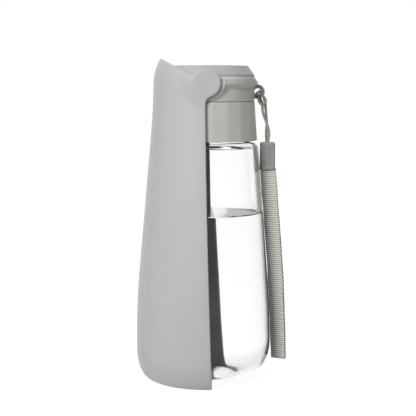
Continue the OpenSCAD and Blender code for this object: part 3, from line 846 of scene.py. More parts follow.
def bent_wall(r: float, z: float, bend_h: float, taper: float, angles: np.ndarray) -> list[Flat]:
    """Section of a wall that stands upright at one place and bends inward over a height to its taper.

    Args:
        r: radius where it is upright.
        z: height where it is upright.
        bend_h: height over which it bends.
        taper: taper at the end of the bend, in degrees.
        angles: angles of its points along the bend, in degrees.

    Returns:
        Its points.
    """
    bend_r = bend_h / math.sin(math.radians(taper))
    return [(r - bend_r * (1 - math.cos(a)), z + bend_r * math.sin(a)) for a in np.radians(angles)]


def turned(
    profile: Sequence[Flat],
    segments: int,
    closed: bool = False,
) -> tuple[np.ndarray, list[Face]]:
    """A body of revolution about the Z axis.

    Args:
        profile: its half section as radius and height.
        segments: number of steps round the axis.
        closed: the section is a loop clear of the axis.

    Returns:
        Its points and faces. Points on the axis coincide, and piece() welds them.
    """
    angles = np.linspace(0, math.tau, segments, endpoint=False)
    section = np.asarray(profile, float)
    points = np.zeros((len(section), segments, 3))
    points[..., 0] = section[:, :1] * np.cos(angles)
    points[..., 1] = section[:, :1] * np.sin(angles)
    points[..., 2] = section[:, 1:]
    return points.reshape(-1, 3), ring_faces(len(section), segments, close_rows=closed)


def arc(centre: Flat, radius: float, start: float, end: float, steps: int) -> list[Flat]:
    """Points along an arc, from start to end degrees.

    Args:
        centre: its centre.
        radius: its radius.
        start: angle of its first point, in degrees.
        end: angle of its last point, in degrees.
        steps: number of steps between its points.

    Returns:
        Its points.
    """
    angles = np.radians(np.linspace(start, end, steps + 1))
    return [(centre[0] + radius * math.cos(a), centre[1] + radius * math.sin(a)) for a in angles]


def eased(value: np.ndarray | float) -> np.ndarray | float:
    """Smooth step from 0 to 1 as value goes from 0 to 1."""
    held = np.clip(value, 0, 1)
    return held * held * (3 - 2 * held)


def through(points: Sequence[Sequence[float]], steps: int) -> np.ndarray:
    """A smooth line through points, by Catmull-Rom.

    Args:
        points: the points that it passes through.
        steps: number of steps between two of them.

    Returns:
        Its points.
    """
    known = np.asarray(points, float)
    padded = np.vstack([2 * known[0] - known[1], known, 2 * known[-1] - known[-2]])
    line = []
    for i in range(len(known) - 1):
        a, b, c, d = padded[i : i + 4]
        for t in np.linspace(0, 1, steps, endpoint=False):
            line.append(
                0.5
                * (2 * b + (c - a) * t + (2 * a - 5 * b + 4 * c - d) * t**2 + (3 * b - a - 3 * c + d) * t**3)
            )
    line.append(known[-1])
    return np.asarray(line)


def distances(line: np.ndarray) -> np.ndarray:
    """How far along a line of points each of them lies."""
    return np.concatenate([[0], np.cumsum(np.linalg.norm(np.diff(line, axis=0), axis=1))])


# Studio


@dataclass
class Studio:
    """Camera, floor, lamp and world.

    Args:
        lens_mm: focal length on a 36 mm sensor.
        pitch_deg: how far the camera looks down.
        eye: where the camera stands, in metres.
        surround: brightness of the light from all round.
        behind: share of it that comes from behind the object.
        behind_at: how far to the back a direction points where that share starts and is reached.
        edge_tone: brightness of the surroundings far to the side, which clear walls bend into view.
        edge_at: how far to the side a direction points where that tone starts and is reached.
        clear_lift: how much brighter the white is behind clear walls, whose faces each hold some light back.
        front_tone: brightness of the dim room in front, as glossy and clear faces show it.
        front_at: how far to the back a direction points where that tone starts and is reached.
        key_watts: power of the big soft lamp.
        key_size: width of the lamp, in metres.
        key_place: where the lamp hangs, in metres.
        key_aim: what it points at, in metres.
        floor_half: half the width of the floor, in metres.
        floor_drop_mm: how far the floor lies under the object.
        floor_colour: colour of the floor where light scatters on it.
        floor_pale: share of the light that the floor gives back to the eye.
        floor_glow: share of the surroundings' brightness that the eye sees in it besides.
    """

    lens_mm: float = 90.26
    pitch_deg: float = 6.56
    eye: Point = (0.00096, -0.672, 0.18733)
    surround: float = 0.34
    behind: float = 0.3
    behind_at: Flat = (0.0, 0.6)
    edge_tone: float = 0.25
    edge_at: Flat = (0.6, 0.85)
    clear_lift: float = 1.14
    front_tone: float = 0.22
    front_at: Flat = (-0.3, -0.7)
    key_watts: float = 25.0
    key_size: float = 0.5
    key_place: Point = (-0.75, -1.36, 1.1)
    key_aim: Point = (0.0, 0.0, 0.11)
    floor_half: float = 6.0
    floor_drop_mm: float = 0.05
    floor_colour: str = "D0D0D0"
    floor_pale: float = 0.2
    floor_glow: float = 0.955

    def camera(self) -> None:
        """Stand the camera at the viewing angle."""
        lens = bpy.data.cameras.new("camera")
        lens.lens = self.lens_mm
        lens.sensor_width = 36.0
        lens.clip_start = 0.01
        lens.clip_end = 50.0
        stand = bpy.data.objects.new("camera", lens)
        stand.location = self.eye
        stand.rotation_euler = (math.radians(90 - self.pitch_deg), 0, 0)
        bpy.context.scene.collection.objects.link(stand)
        bpy.context.scene.camera = stand

    def key_lamp(self) -> None:
        """Hang the big square lamp."""
        light = bpy.data.lights.new("key lamp", "AREA")
        light.shape = "SQUARE"
        light.size = self.key_size
        light.energy = self.key_watts
        hung = bpy.data.objects.new("key lamp", light)
        hung.location = self.key_place
        aim = Vector(self.key_aim) - Vector(self.key_place)
        hung.rotation_euler = aim.to_track_quat("-Z", "Y").to_euler()
        bpy.context.scene.collection.objects.link(hung)

    def first_seen(self, tree: Tree) -> Socket:
        """One for rays from the eye that met only clear or glossy faces, and none for scattered light.

        Args:
            tree: the node tree that asks.

        Returns:
            The mask's output socket.
        """
        ray = add_node(tree, "ShaderNodeLightPath")
        feeds = {0: ray.outputs["Diffuse Depth"], 1: 0.5}
        return add_node(tree, "ShaderNodeMath", feeds, operation="LESS_THAN").outputs[0]

    def side_tone(self, tree: Tree, way: Socket) -> Socket:
        """White to the eye itself, and for clear and glossy faces darker at the sides and in front.

        Args:
            tree: the node tree that asks.
            way: direction of the ray.

        Returns:
            The brightness's output socket.
        """
        ray = add_node(tree, "ShaderNodeLightPath")
        split = add_node(tree, "ShaderNodeSeparateXYZ", {"Vector": way})
        out = add_node(tree, "ShaderNodeMath", {0: split.outputs["X"]}, operation="ABSOLUTE")
        tones = []
        for value, (start, end), tone in (
            (out.outputs[0], self.edge_at, self.edge_tone),
            (split.outputs["Y"], self.front_at, self.front_tone),
        ):
            feeds = {"Value": value, "From Min": start, "From Max": end, "To Min": 1.0, "To Max": tone}
            faded = add_node(tree, "ShaderNodeMapRange", feeds, interpolation_type="SMOOTHSTEP")
            tones.append(faded.outputs["Result"])
        both = add_node(tree, "ShaderNodeMath", {0: tones[1], 1: tones[0]}, operation="MULTIPLY")
        lifted = add_node(tree, "ShaderNodeMath", {0: both, 1: self.clear_lift}, operation="MULTIPLY")
        feeds = {0: ray.outputs["Is Camera Ray"], 2: lifted, 3: 1.0}
        return add_node(tree, "ShaderNodeMix", feeds, data_type="FLOAT").outputs[0]

    def world(self) -> None:
        """White behind the object for the eye, and softer light from all round, less from behind."""
        world = bpy.data.worlds.new("studio")
        bpy.context.scene.world = world
        world.use_nodes = True
        tree = world.node_tree
        tree.nodes.clear()
        place = add_node(tree, "ShaderNodeTexCoord")
        way = place.outputs["Generated"]
        split = add_node(tree, "ShaderNodeSeparateXYZ", {"Vector": way})
        start, end = self.behind_at
        feeds = {"Value": split.outputs["Y"], "From Min": start, "From Max": end}
        feeds |= {"To Min": self.surround, "To Max": self.surround * self.behind}
        level = add_node(tree, "ShaderNodeMapRange", feeds, interpolation_type="SMOOTHSTEP")
        light = add_node(tree, "ShaderNodeBackground", {"Color": linear("FFFFFF"), "Strength": level})
        feeds = {"Color": linear("FFFFFF"), "Strength": self.side_tone(tree, way)}
        white = add_node(tree, "ShaderNodeBackground", feeds)
        mix = add_node(tree, "ShaderNodeMixShader", {0: self.first_seen(tree), 1: light, 2: white})
        add_node(tree, "ShaderNodeOutputWorld", {"Surface": mix})

    def floor(self) -> None:
        """A wide white floor that keeps a soft shadow and meets the white world without a line."""
        mesh = bpy.data.meshes.new("floor")
        half = self.floor_half
        corners = [(-half, -half, 0), (half, -half, 0), (half, half, 0), (-half, half, 0)]
        mesh.from_pydata(corners, [], [(0, 1, 2, 3)])
        paper = bpy.data.materials.new("seamless white paper, matt")
        paper.use_nodes = True
        tree = paper.node_tree
        tree.nodes.clear()
        looked = add_node(tree, "ShaderNodeNewGeometry")
        matt = add_node(tree, "ShaderNodeBsdfDiffuse", {"Color": linear(self.floor_colour)})
        pale = add_node(tree, "ShaderNodeBsdfDiffuse", {"Color": (*[self.floor_pale] * 3, 1.0)})
        feeds = {0: looked.outputs["Incoming"], 1: (-1, -1, -1)}
        onward = add_node(tree, "ShaderNodeVectorMath", feeds, operation="MULTIPLY")
        feeds = {0: self.side_tone(tree, onward.outputs[0]), 1: self.floor_glow}
        tone = add_node(tree, "ShaderNodeMath", feeds, operation="MULTIPLY")
        glow = add_node(tree, "ShaderNodeEmission", {"Color": linear("FFFFFF"), "Strength": tone})
        seen = add_node(tree, "ShaderNodeAddShader", {0: pale, 1: glow})
        mix = add_node(tree, "ShaderNodeMixShader", {0: self.first_seen(tree), 1: matt, 2: seen})
        add_node(tree, "ShaderNodeOutputMaterial", {"Surface": mix})
        mesh.materials.append(paper)
        floor = bpy.data.objects.new("floor", mesh)
        floor.location.z = -self.floor_drop_mm * MM
        bpy.context.scene.collection.objects.link(floor)

    def build(self) -> None:
        """Set up everything round the object but the camera."""
        scene = bpy.context.scene
        scene.view_settings.view_transform = "Standard"
        self.world()
        self.floor()
        self.key_lamp()
        LOG.info("studio ready")


# Lanyard


@dataclass
class Lanyard:
    """Cord hitched to the eyelet, its ferrule, and the folded strap that hangs from it.

    Args:
        cord_d: diameter of the cord.
        strap_w: width of the strap.
        strap_t: thickness of one ply.
        strap_gap: half the distance between the plies where they lie closest.
        strap_open: how much further apart they stand at most.
        ferrule_x: distance of the ferrule from the axis.
        ferrule_z0: height of the ferrule's lower end.
        ferrule_size: width, depth and height of the ferrule.
        ferrule_corner: rounding of its four long edges.
        ferrule_top: rounding of its upper end.
        ferrule_foot: height and depth of the rounding of its lower end.
        rib: depth and pitch of its ribs, and how far they reach to each side.
        turn_deg: how far the strap is turned about its length, at its top and at its fold.
        selvedge: width of the strap's rounded edges.
        wander: depth, length and phase of two waves in the strap's width.
        cord_route: points of the cord's centreline.
        strap_route: points of the middle between the strap's plies, from the ferrule down.
        strap_end: where the strap folds over.
    """

    cord_d: float = 1.7
    strap_w: float = 10.0
    strap_t: float = 1.1
    strap_gap: float = 0.05
    strap_open: float = 0.9
    ferrule_x: float = 39.3
    ferrule_z0: float = 135.1
    ferrule_size: Point = (9.7, 5.6, 17.8)
    ferrule_corner: float = 1.5
    ferrule_top: float = 1.4
    ferrule_foot: Flat = (0.5, 0.3)
    rib: Point = (0.45, 1.6, 4.0)
    turn_deg: Flat = (-6.0, -27.0)
    selvedge: float = 0.45
    wander: tuple[Point, Point] = ((0.06, 5.3, 0.0), (0.05, 2.9, 1.7))
    cord_route: list[Point] = field(
        default_factory=lambda: [
            (38.7, 0.9, 151.9), (38.6, 0.95, 154.8), (38.4, 0.95, 158.0), (38.55, 1.0, 161.8),
            (38.75, 1.0, 164.4), (38.6, 1.0, 167.0), (38.4, 0.95, 169.5), (38.1, 0.8, 173.3),
            (37.75, 0.5, 176.9), (37.45, 1.4, 179.1), (36.85, 2.5, 181.0), (35.85, 2.9, 182.8),
            (34.75, 2.7, 184.2), (33.8, 1.7, 185.1), (33.85, 0.0, 185.2), (33.8, -1.7, 185.1),
            (34.55, -2.7, 184.1), (35.65, -3.0, 182.7), (36.75, -3.0, 181.4), (37.55, -2.8, 180.2),
            (37.75, -2.6, 178.9), (37.15, -2.7, 177.7), (35.95, -2.9, 177.0), (34.65, -2.9, 177.3),
            (33.75, -2.9, 178.6), (33.25, -2.9, 180.3), (32.75, -2.8, 182.1), (32.3, -2.5, 183.6),
            (32.25, -1.6, 184.15), (32.25, 0.0, 184.15), (32.3, 1.6, 184.15), (32.95, 2.7, 183.1),
            (33.95, 2.9, 181.5), (34.75, 2.5, 180.0), (35.45, 1.3, 178.5), (35.95, -0.2, 176.9),
            (35.85, -0.7, 174.7), (36.05, -0.8, 172.5), (36.8, -0.95, 169.5), (37.8, -1.0, 167.0),
            (38.8, -1.0, 164.4), (39.65, -1.0, 161.8), (40.15, -0.95, 158.0), (39.75, -0.9, 154.8),
            (39.55, -0.8, 151.9),
        ]
    )
    strap_route: list[Point] = field(
        default_factory=lambda: [
            (39.7, 0, 136), (40.1, 0, 131), (40.9, 0, 120), (42, 0, 106), (43.3, 0, 90),
            (44.7, 0, 72), (45.7, 0, 54), (46.5, 0, 36), (47, 0, 20), (47.3, 0, 12.4),
        ]
    )
    strap_end: Point = (47.35, 0, 11.5)

    def cord(self) -> bpy.types.Object:
        """The braided cord, from the ferrule round the eyelet's limb, hitched, and back.


        Returns:
            The cord.
        """
        line = through(self.cord_route, steps=5)
        sides = 12
        radius = self.cord_d / 2
        ways = np.gradient(line, axis=0)
        ways /= np.linalg.norm(ways, axis=1)[:, None]
        off_axis = (0.05, 1, 0.1)
        side = np.cross(ways[0], off_axis)
        side /= np.linalg.norm(side)
        run = distances(line)
        points = []
        for centre, way in zip(line, ways):
            side = side - way * side.dot(way)
            side /= np.linalg.norm(side)
            up = np.cross(way, side)
            for k in range(sides):
                turn = math.tau * k / sides
                points.append(centre + radius * (side * math.cos(turn) + up * math.sin(turn)))
        around = math.tau * radius
        uv = tube_uv(run, [(around * k / sides, around * (k + 1) / sides) for k in range(sides)])
        faces = tube_faces(len(line), sides)
        made = piece("lanyard-cord", points, faces, CORD_YARN, Body.HEAD, ["lanyard_cord"], uv=uv)
        return made

    def ferrule(self) -> bpy.types.Object:
        """The moulded ferrule, with ribs down its faces and softened ends.

        Returns:
            The ferrule.
        """
        width, depth, height = self.ferrule_size
        rib_depth, rib_pitch, rib_reach = self.rib
        foot_h, foot_in = self.ferrule_foot
        around = []
        for cx, cy, start in ((1, 1, 0), (-1, 1, 90), (-1, -1, 180), (1, -1, 270)):
            centre = (cx * (width / 2 - self.ferrule_corner), cy * (depth / 2 - self.ferrule_corner))
            around += arc(centre, self.ferrule_corner, start, start + 90, steps=6)
            if cx == cy:
                flat = np.linspace(centre[0], -centre[0], 56)[1:-1]
                around += [(x, cy * depth / 2) for x in flat]
        heights = [0, 0.15, foot_h, *np.linspace(1.1, height - 2.4, 16)]
        heights += [height - down for down in (1.7, 1.0, 0.5, 0.2, 0.0)]
        points = []
        for z in heights:
            top = max(0.0, z - (height - self.ferrule_top)) / self.ferrule_top
            low = max(0.0, foot_h - z) / foot_h
            draw = self.ferrule_top * (1 - math.sqrt(max(0.0, 1 - top**2)))
            draw += foot_in * (1 - math.sqrt(max(0.0, 1 - low**2)))
            within = eased((z - 1.0) / 0.8) * eased((height - 2.2 - z) / 0.8)
            for x, y in around:
                wave = 0.5 - 0.5 * math.cos(math.tau * x / rib_pitch)
                rib = within * eased((rib_reach - abs(x)) / 0.4) * rib_depth * wave
                sy = math.copysign(max(0.0, abs(y) - rib * (abs(y) > depth / 2 - 0.05)), y)
                near = (self.ferrule_x + x * (1 - draw * 2 / width), sy * (1 - draw * 1.3 / depth))
                points.append((*near, self.ferrule_z0 + z))
        faces = tube_faces(len(heights), len(around))
        return piece("lanyard-ferrule", points, faces, FERRULE_PLASTIC, Body.HEAD, ["lanyard_ferrule"], 40)

    def strap_line(self) -> tuple[np.ndarray, np.ndarray]:
        """Centreline of the strap, down the front ply, round its fold and up the back ply.

        Returns:
            Its points, and the direction across the strap at each.
        """
        smooth = through(self.strap_route, steps=6)
        n = len(smooth)
        turns = np.radians(np.linspace(*self.turn_deg, n))
        wide = np.stack([np.cos(turns), np.sin(turns), np.zeros(n)], axis=1)
        lean = np.stack([-np.sin(turns), np.cos(turns), np.zeros(n)], axis=1)
        bend = self.strap_t / 2 + self.strap_gap
        stand = [bend + self.strap_open * math.sin(math.pi * i / n) / 2 for i in range(n)]
        off = lean * np.asarray(stand)[:, None]
        fold = [
            np.asarray(self.strap_end) + lean[-1] * bend * math.sin(a) - (0, 0, bend * math.cos(a))
            for a in np.radians([-60, -30, 0, 30, 60])
        ]
        line = np.vstack([smooth - off, fold, (smooth + off)[::-1]])
        across = np.vstack([wide, np.repeat(wide[-1:], len(fold), axis=0), wide[::-1]])
        return line, across

    def strap(self) -> bpy.types.Object:
        """The woven strap as one flat band with soft selvedges.

        Returns:
            The strap.
        """
        line, wide = self.strap_line()
        half_w, half_t = self.strap_w / 2, self.strap_t / 2
        edge = self.selvedge
        section = arc((half_w - edge, 0), 1, -90, 90, steps=6)
        section = [(half_w - edge + (x - half_w + edge) * edge, y * half_t) for x, y in section]
        across = np.linspace(half_w - edge, edge - half_w, 9)[1:-1]
        top = [(x, half_t) for x in across]
        around = section + top + [(-x, -y) for x, y in section] + [(-x, -y) for x, y in top]
        run = distances(line)
        ways = np.gradient(line, axis=0)
        points = []
        for i, (centre, way) in enumerate(zip(line, ways)):
            out = np.cross(wide[i], way)
            out /= np.linalg.norm(out)
            wander = sum(depth * math.sin(run[i] / length + phase) for depth, length, phase in self.wander)
            for x, y in around:
                points.append(centre + wide[i] * x * (1 + wander / half_w) + out * y)
        marks = [x + half_w for x, _ in around]
        uv = tube_uv(run, list(zip(marks, marks[1:] + marks[:1])), along_v=True)
        faces = tube_faces(len(line), len(around))
        made = piece("lanyard-strap", points, faces, STRAP_WEAVE, Body.HEAD, ["lanyard_strap"], uv=uv)
        return made

    def build(self) -> None:
        """Make the whole lanyard."""
        ferrule = self.ferrule()
        self.cord()
        self.strap()


# Bottle


@dataclass
class Bottle:
    """The clear bottle and its water.

    Args:
        base_z: height of its underside.
        r: its largest radius.
        wide_z: height at which it is widest.
        taper: taper of its wall, in degrees.
        bend_h: height over which the wall bends into its taper.
        base_in: how far its lower rounding draws in.
        wall: its wall where it is widest and below its shoulder.
        thinned: heights between which the wall thickens upward.
        top_wall: thickness and inner rounding of its shoulder.
        floor: thickness of its base.
        punt: height and radius of the dome in its base.
        shoulder_z: height of its shoulder.
        shoulder_round: rounding of its shoulder.
        neck_fillet: size of the fillet between shoulder and neck, and how far its middle stands off.
        water_z: level of the water.
        meniscus: how far the water climbs at the wall, and over what width it falls off.
    """

    base_z: float = 4.5
    r: float = 41.45
    wide_z: float = 22.5
    taper: float = 4.25
    bend_h: float = 39.0
    base_in: float = 11.0
    wall: Flat = (1.0, 3.2)
    thinned: Flat = (60.0, 108.0)
    top_wall: Flat = (1.6, 3.0)
    floor: float = 2.0
    punt: Flat = (4.0, 26.0)
    shoulder_z: float = 152.8
    shoulder_round: float = 3.8
    neck_fillet: Flat = (1.5, 0.45)
    water_z: float = 107.0
    meniscus: Flat = (1.3, 1.1)

    def punt_curve(self, z: float) -> list[Flat]:
        """The dome in the base from the axis outward, over a floor at height z."""
        height, radius = self.punt
        return [(radius * t, z + height * math.cos(math.pi / 2 * t) ** 2) for t in np.linspace(0, 1, 17)]

    def base_curve(self, inset: float, z: float) -> list[Flat]:
        """The lower rounding, lifted where the trough's floor sweeps past.

        Args:
            inset: distance inside the outer face.
            z: height of the floor.

        Returns:
            Its points, from the floor to the widest place.
        """
        curve = []
        for a in np.radians(np.linspace(-90, 0, 31)):
            r = self.r - self.base_in + (self.base_in - inset) * math.cos(a)
            raised = self.wide_z + (self.wide_z - z) * math.sin(a)
            swept = SIZES.pivot_z - math.sqrt((SIZES.sweep_r - inset) ** 2 - r * r) + inset
            curve.append((r, max(raised, swept)))
        return curve

    def wall_curve(self, inset: float) -> list[Flat]:
        """The wall from its widest place to the start of its taper."""
        angles = np.linspace(0.2, self.taper, 16)
        return bent_wall(self.r - inset, self.wide_z, self.bend_h, self.taper, angles)

    def straight_curve(self, top: float) -> list[Flat]:
        """The outer face of the tapering wall, from its bend up.

        Args:
            top: height of its end.

        Returns:
            Its points.
        """
        r0, z0 = self.wall_curve(0)[-1]
        slope = math.tan(math.radians(self.taper))
        return [(r0 - slope * (z - z0), z) for z in np.linspace(z0, top, 24)[1:]]

    def neck_foot(self, r: float, z: float) -> list[Flat]:
        """Fillet from a shoulder at height z to a neck of radius r."""
        size, middle = self.neck_fillet
        return [(r + size, z), (r + middle, z + middle), (r, z + size)]

    def neck_curve(self) -> list[Flat]:
        """Outside of the neck, with its screw ridges.

        Returns:
            Its points, from the shoulder up.
        """
        r = SIZES.neck_r
        curve = self.neck_foot(r, self.shoulder_z)
        for i in range(3):
            curve += SIZES.ridge(r, r + SIZES.ridge_h, SIZES.ridge_z0 + i * SIZES.ridge_pitch)
        return curve + [(r, SIZES.neck_top)]

    def inner_curve(self, bite: float = 0.0) -> list[Flat]:
        """The room in the bottle, from the middle of its floor to its shoulder.

        Args:
            bite: how far the curve lies within the wall's thickness.

        Returns:
            Its points.
        """
        low, high = self.wall[0] - bite, self.wall[1] - bite
        floor_z = self.base_z + self.floor - bite
        top_t, bend = self.top_wall
        z1 = self.shoulder_z - top_t - bend
        straight = []
        for r, z in self.straight_curve(z1):
            share = eased((z - self.thinned[0]) / (self.thinned[1] - self.thinned[0]))
            straight.append((r - low - (high - low) * share, z))
        shoulder = arc((straight[-1][0] - bend, z1), bend, self.taper, 90, steps=10)[1:]
        below = self.punt_curve(floor_z) + self.base_curve(low, floor_z) + self.wall_curve(low)
        return below + straight + shoulder

    def shell(self) -> bpy.types.Object:
        """The bottle as one closed, clear wall.

        Returns:
            The bottle.
        """
        bore = SIZES.neck_r - SIZES.neck_wall
        bend = self.shoulder_round
        z1 = self.shoulder_z - bend
        outside = self.punt_curve(self.base_z) + self.base_curve(0, self.base_z) + self.wall_curve(0)
        outside += self.straight_curve(z1)
        outside += arc((outside[-1][0] - bend, z1), bend, self.taper, 90, steps=10)[1:] + self.neck_curve()
        inside = self.inner_curve() + self.neck_foot(bore, self.shoulder_z - self.top_wall[0])
        inside.append((bore, SIZES.neck_top))
        points, faces = turned(outside + inside[::-1], segments=192)
        return piece("bottle-shell", points, faces, BOTTLE_PLASTIC, Body.BOTTLE, ["bottle"], 35)

    def water(self) -> bpy.types.Object:
        """The water, a hair inside the wall's own thickness so that no film of air shows.

        Returns:
            The water.
        """
        curve = self.inner_curve(bite=0.1)
        room = [(r, z) for r, z in curve if z < self.water_z - 1]
        above = [(z, r) for r, z in curve if self.wide_z < z < self.shoulder_z - 8]
        rise, reach = self.meniscus
        wet = []
        for t in np.linspace(0, 1, 12):
            inward = 5.0 * t * t
            z = self.water_z + rise * math.exp(-inward / reach)
            wet.append((float(np.interp(z, *zip(*above))) - inward, z))
        wet.append((0.0, self.water_z))
        points, faces = turned(room + wet, segments=192)
        return piece("drinking-water", points, faces, WATER, Body.BOTTLE, ["water"], 50)

    def build(self) -> None:
        """Make the bottle and its water."""
        self.shell()
        self.water()


# Valve spring


@dataclass
class ValveSpring:
    """The valve's return spring, made at rest; in the valve it shortens as the stem goes down.

    Args:
        radius: radius of the coil's centreline.
        wire_d: diameter of the wire.
        turns: number of turns.
        seat_z: height that its lower end stands on; not used.
        ends: heights of the wire's centre at the spring's two ends.
        travel: how far the stem presses it down; not used.
    """

    radius: float = 3.45
    wire_d: float = 0.7
    turns: float = 3.0
    seat_z: float = 182.7
    ends: Flat = (183.1, 188.0)
    travel: float = 3.01

    def build(self) -> bpy.types.Object:
        """Make the spring as a coiled wire.

        Returns:
            The spring.
        """
        low, high = self.ends
        sides, steps = 10, 120
        points = []
        for t in np.linspace(0, 1, steps):
            turn = math.tau * self.turns * t
            outward = np.array([math.cos(turn), math.sin(turn), 0.0])
            centre = outward * self.radius + (0, 0, low + (high - low) * t)
            for a in np.linspace(0, math.tau, sides, endpoint=False):
                off = outward * math.cos(a) + np.array([0, 0, math.sin(a)])
                points.append(centre + self.wire_d / 2 * off)
        faces = tube_faces(steps, sides)
        made = piece("valve-spring", points, faces, STEEL, Body.HEAD, ["valve_spring"], 60)
        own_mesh(made)
        return made


# Trough


@dataclass
class Trough:
    """The fold-out trough: half a shell of revolution, cut to its side outline, with an ear on each side.

    Args:
        r: its largest outer radius.
        wide_z: height of the top of its widest part.
        base_in: how far its lower rounding draws in.
        base_h: height of its lower rounding.
        bend_h: height over which the wall bends into its taper.
        taper: taper of its wall, in degrees.
        waist: radius and height of its waist.
        dome: radius and centre height of its domed top.
        wall: its wall.
        mouth_slope: slope of its mouth, in degrees.
        ear_y: inner and outer face of an ear.
        rim_x: where its rim runs at the hinge and at the floor.
        rim_round: fillet between the rim and an ear.
        valley_round: rounding of the valley between an ear and the mouth.
        valley_steeper: how much steeper than the mouth the valley's side is, in degrees.
        valley_drop: how far the valley's side passes below the hinge.
        lip: rounding of its edges.
        ear_blend: how far inside an ear's edge its flat outer face ends, and over what width it runs out.
        inner_blend: radius of an ear's flat inner face, and over what width it runs out.
        rear_reach: how much further forward the far rim runs, at mid height and at the floor.
        rear_mid: height under which that reach changes towards the floor's.
        rear_fade: start and width of its rise along +Y, then of its falls along -X and +Z.
        step: distance between the mesh's points.
    """

    r: float = 45.65
    wide_z: float = 26.0
    base_in: float = 8.0
    base_h: float = 18.0
    bend_h: float = 45.0
    taper: float = 5.22
    waist: Flat = (36.38, 150.0)
    dome: Flat = (33.9, 189.3)
    wall: float = 1.8
    mouth_slope: float = 28.0
    ear_y: Flat = (31.95, 34.3)
    rim_x: Flat = (-0.6, 3.5)
    rim_round: float = 5.0
    valley_round: float = 4.2
    valley_steeper: float = 8.0
    valley_drop: float = 2.5
    lip: float = 0.55
    ear_blend: Flat = (1.5, 9.5)
    inner_blend: Flat = (10.4, 2.6)
    rear_reach: Flat = (2.6, 2.3)
    rear_mid: float = 107.0
    rear_fade: tuple[Flat, Flat, Flat] = ((-10.0, 45.0), (4.0, 28.0), (148.0, 26.0))
    step: float = 1.3

    def __post_init__(self) -> None:
        """Lay out the half section, outside and inside, against the distance along the outside."""
        outside, inside = self.section(0, 0), self.section(self.wall, SIZES.trough_floor)
        self.outside = np.asarray(outside)
        self.inside = np.asarray(inside)
        self.run = distances(self.outside)

    def section(self, inset: float, floor_z: float) -> list[Flat]:
        """Half section of one face of the wall, from the edge of the flat floor up.

        Args:
            inset: distance inside the outer face.
            floor_z: height of the floor.

        Returns:
            Its points as radius and height.
        """
        inner_in = self.base_in - inset
        curve = [
            (self.r - self.base_in + inner_in * math.cos(a), floor_z + self.base_h * (1 + math.sin(a)))
            for a in np.radians(np.linspace(-90, 0, 46))
        ]
        angles = np.linspace(0, self.taper, 20)
        curve += bent_wall(self.r - inset, self.wide_z, self.bend_h, self.taper, angles)
        waist_r, waist_z = self.waist
        dome_r, dome_z = self.dome
        r0, z0 = curve[-1]
        for t in np.linspace(0, 1, 30)[1:]:
            curve.append((r0 + (waist_r - inset - r0) * t, z0 + (waist_z - z0) * t))
        for t in np.linspace(0, 1, 24)[1:]:
            r = dome_r + (waist_r - dome_r) * (1 - t) ** 1.5 - inset
            curve.append((r, waist_z + (dome_z - waist_z) * t))
        for a in np.radians(np.linspace(0, 80, 54)[1:]):
            curve.append(((dome_r - inset) * math.cos(a), dome_z + (dome_r - inset) * math.sin(a)))
        return curve

    def at(self, turn: np.ndarray, run: np.ndarray, inner: bool = False) -> np.ndarray:
        """Points on one face of the near half of the wall.

        Args:
            turn: angle about the axis from +X, from 0 to pi.
            run: distance along the outer section from the floor's edge.
            inner: the inner face, and not the outer.

        Returns:
            The points, on the -Y side.
        """
        curve = self.inside if inner else self.outside
        r = np.interp(run, self.run, curve[:, 0])
        z = np.interp(run, self.run, curve[:, 1])
        x = r * np.cos(turn)
        y = r * np.sin(turn)
        away = np.hypot(x, z - SIZES.pivot_z)
        if inner:
            face = self.ear_y[0]
            start, width = self.inner_blend
            pull = 1 - eased((away - start) / width)
        else:
            face = self.ear_y[1]
            start, width = self.ear_blend
            pull = (1 - eased((away - SIZES.ear_r + start) / width)) * (face > y)
        y = y + pull * (face - y)
        return np.stack([x, -y, z], axis=-1)

    def side_edge(self) -> list[Flat]:
        """Side view of the edge, from the floor up the rim, round the ear and out of the valley.

        Returns:
            Its points as X and Z.
        """
        pivot_z, ear_r = SIZES.pivot_z, SIZES.ear_r
        top_x, back_x = self.rim_x
        fall = math.sqrt((ear_r + self.rim_round) ** 2 - (top_x + self.rim_round) ** 2)
        below = (top_x + self.rim_round, pivot_z - fall)
        valley_deg = self.mouth_slope + self.valley_steeper
        slope, dip = math.radians(self.mouth_slope), math.radians(valley_deg)
        rise = self.valley_round - self.valley_drop
        along = math.sqrt((ear_r + self.valley_round) ** 2 - rise**2)
        above = (
            -along * math.cos(dip) + rise * math.sin(dip),
            pivot_z + along * math.sin(dip) + rise * math.cos(dip),
        )
        meet = self.valley_drop / math.cos(dip) / (math.tan(dip) - math.tan(slope))
        edge = []
        for z in np.linspace(0, below[1], int(below[1] / self.step) + 1):
            t = (below[1] - z) / (below[1] + 1)
            edge.append((top_x + (back_x - top_x) * t**1.5, z))
        to_below = math.degrees(math.atan2(pivot_z - below[1], -below[0]))
        to_above = math.degrees(math.atan2(pivot_z - above[1], -above[0]))
        edge += arc(below, self.rim_round, 180, to_below, steps=6)[1:]
        edge += arc((0, pivot_z), ear_r, to_below - 180, to_above + 180, steps=30)[1:]
        edge += arc(above, self.valley_round, to_above, -90 - valley_deg, steps=6)[1:]
        x0, z0 = edge[-1]
        x1, z1 = -meet, pivot_z + meet * math.tan(slope)
        return edge + [(x0 + (x1 - x0) * t, z0 + (z1 - z0) * t) for t in np.linspace(0, 1, 5)[1:]]

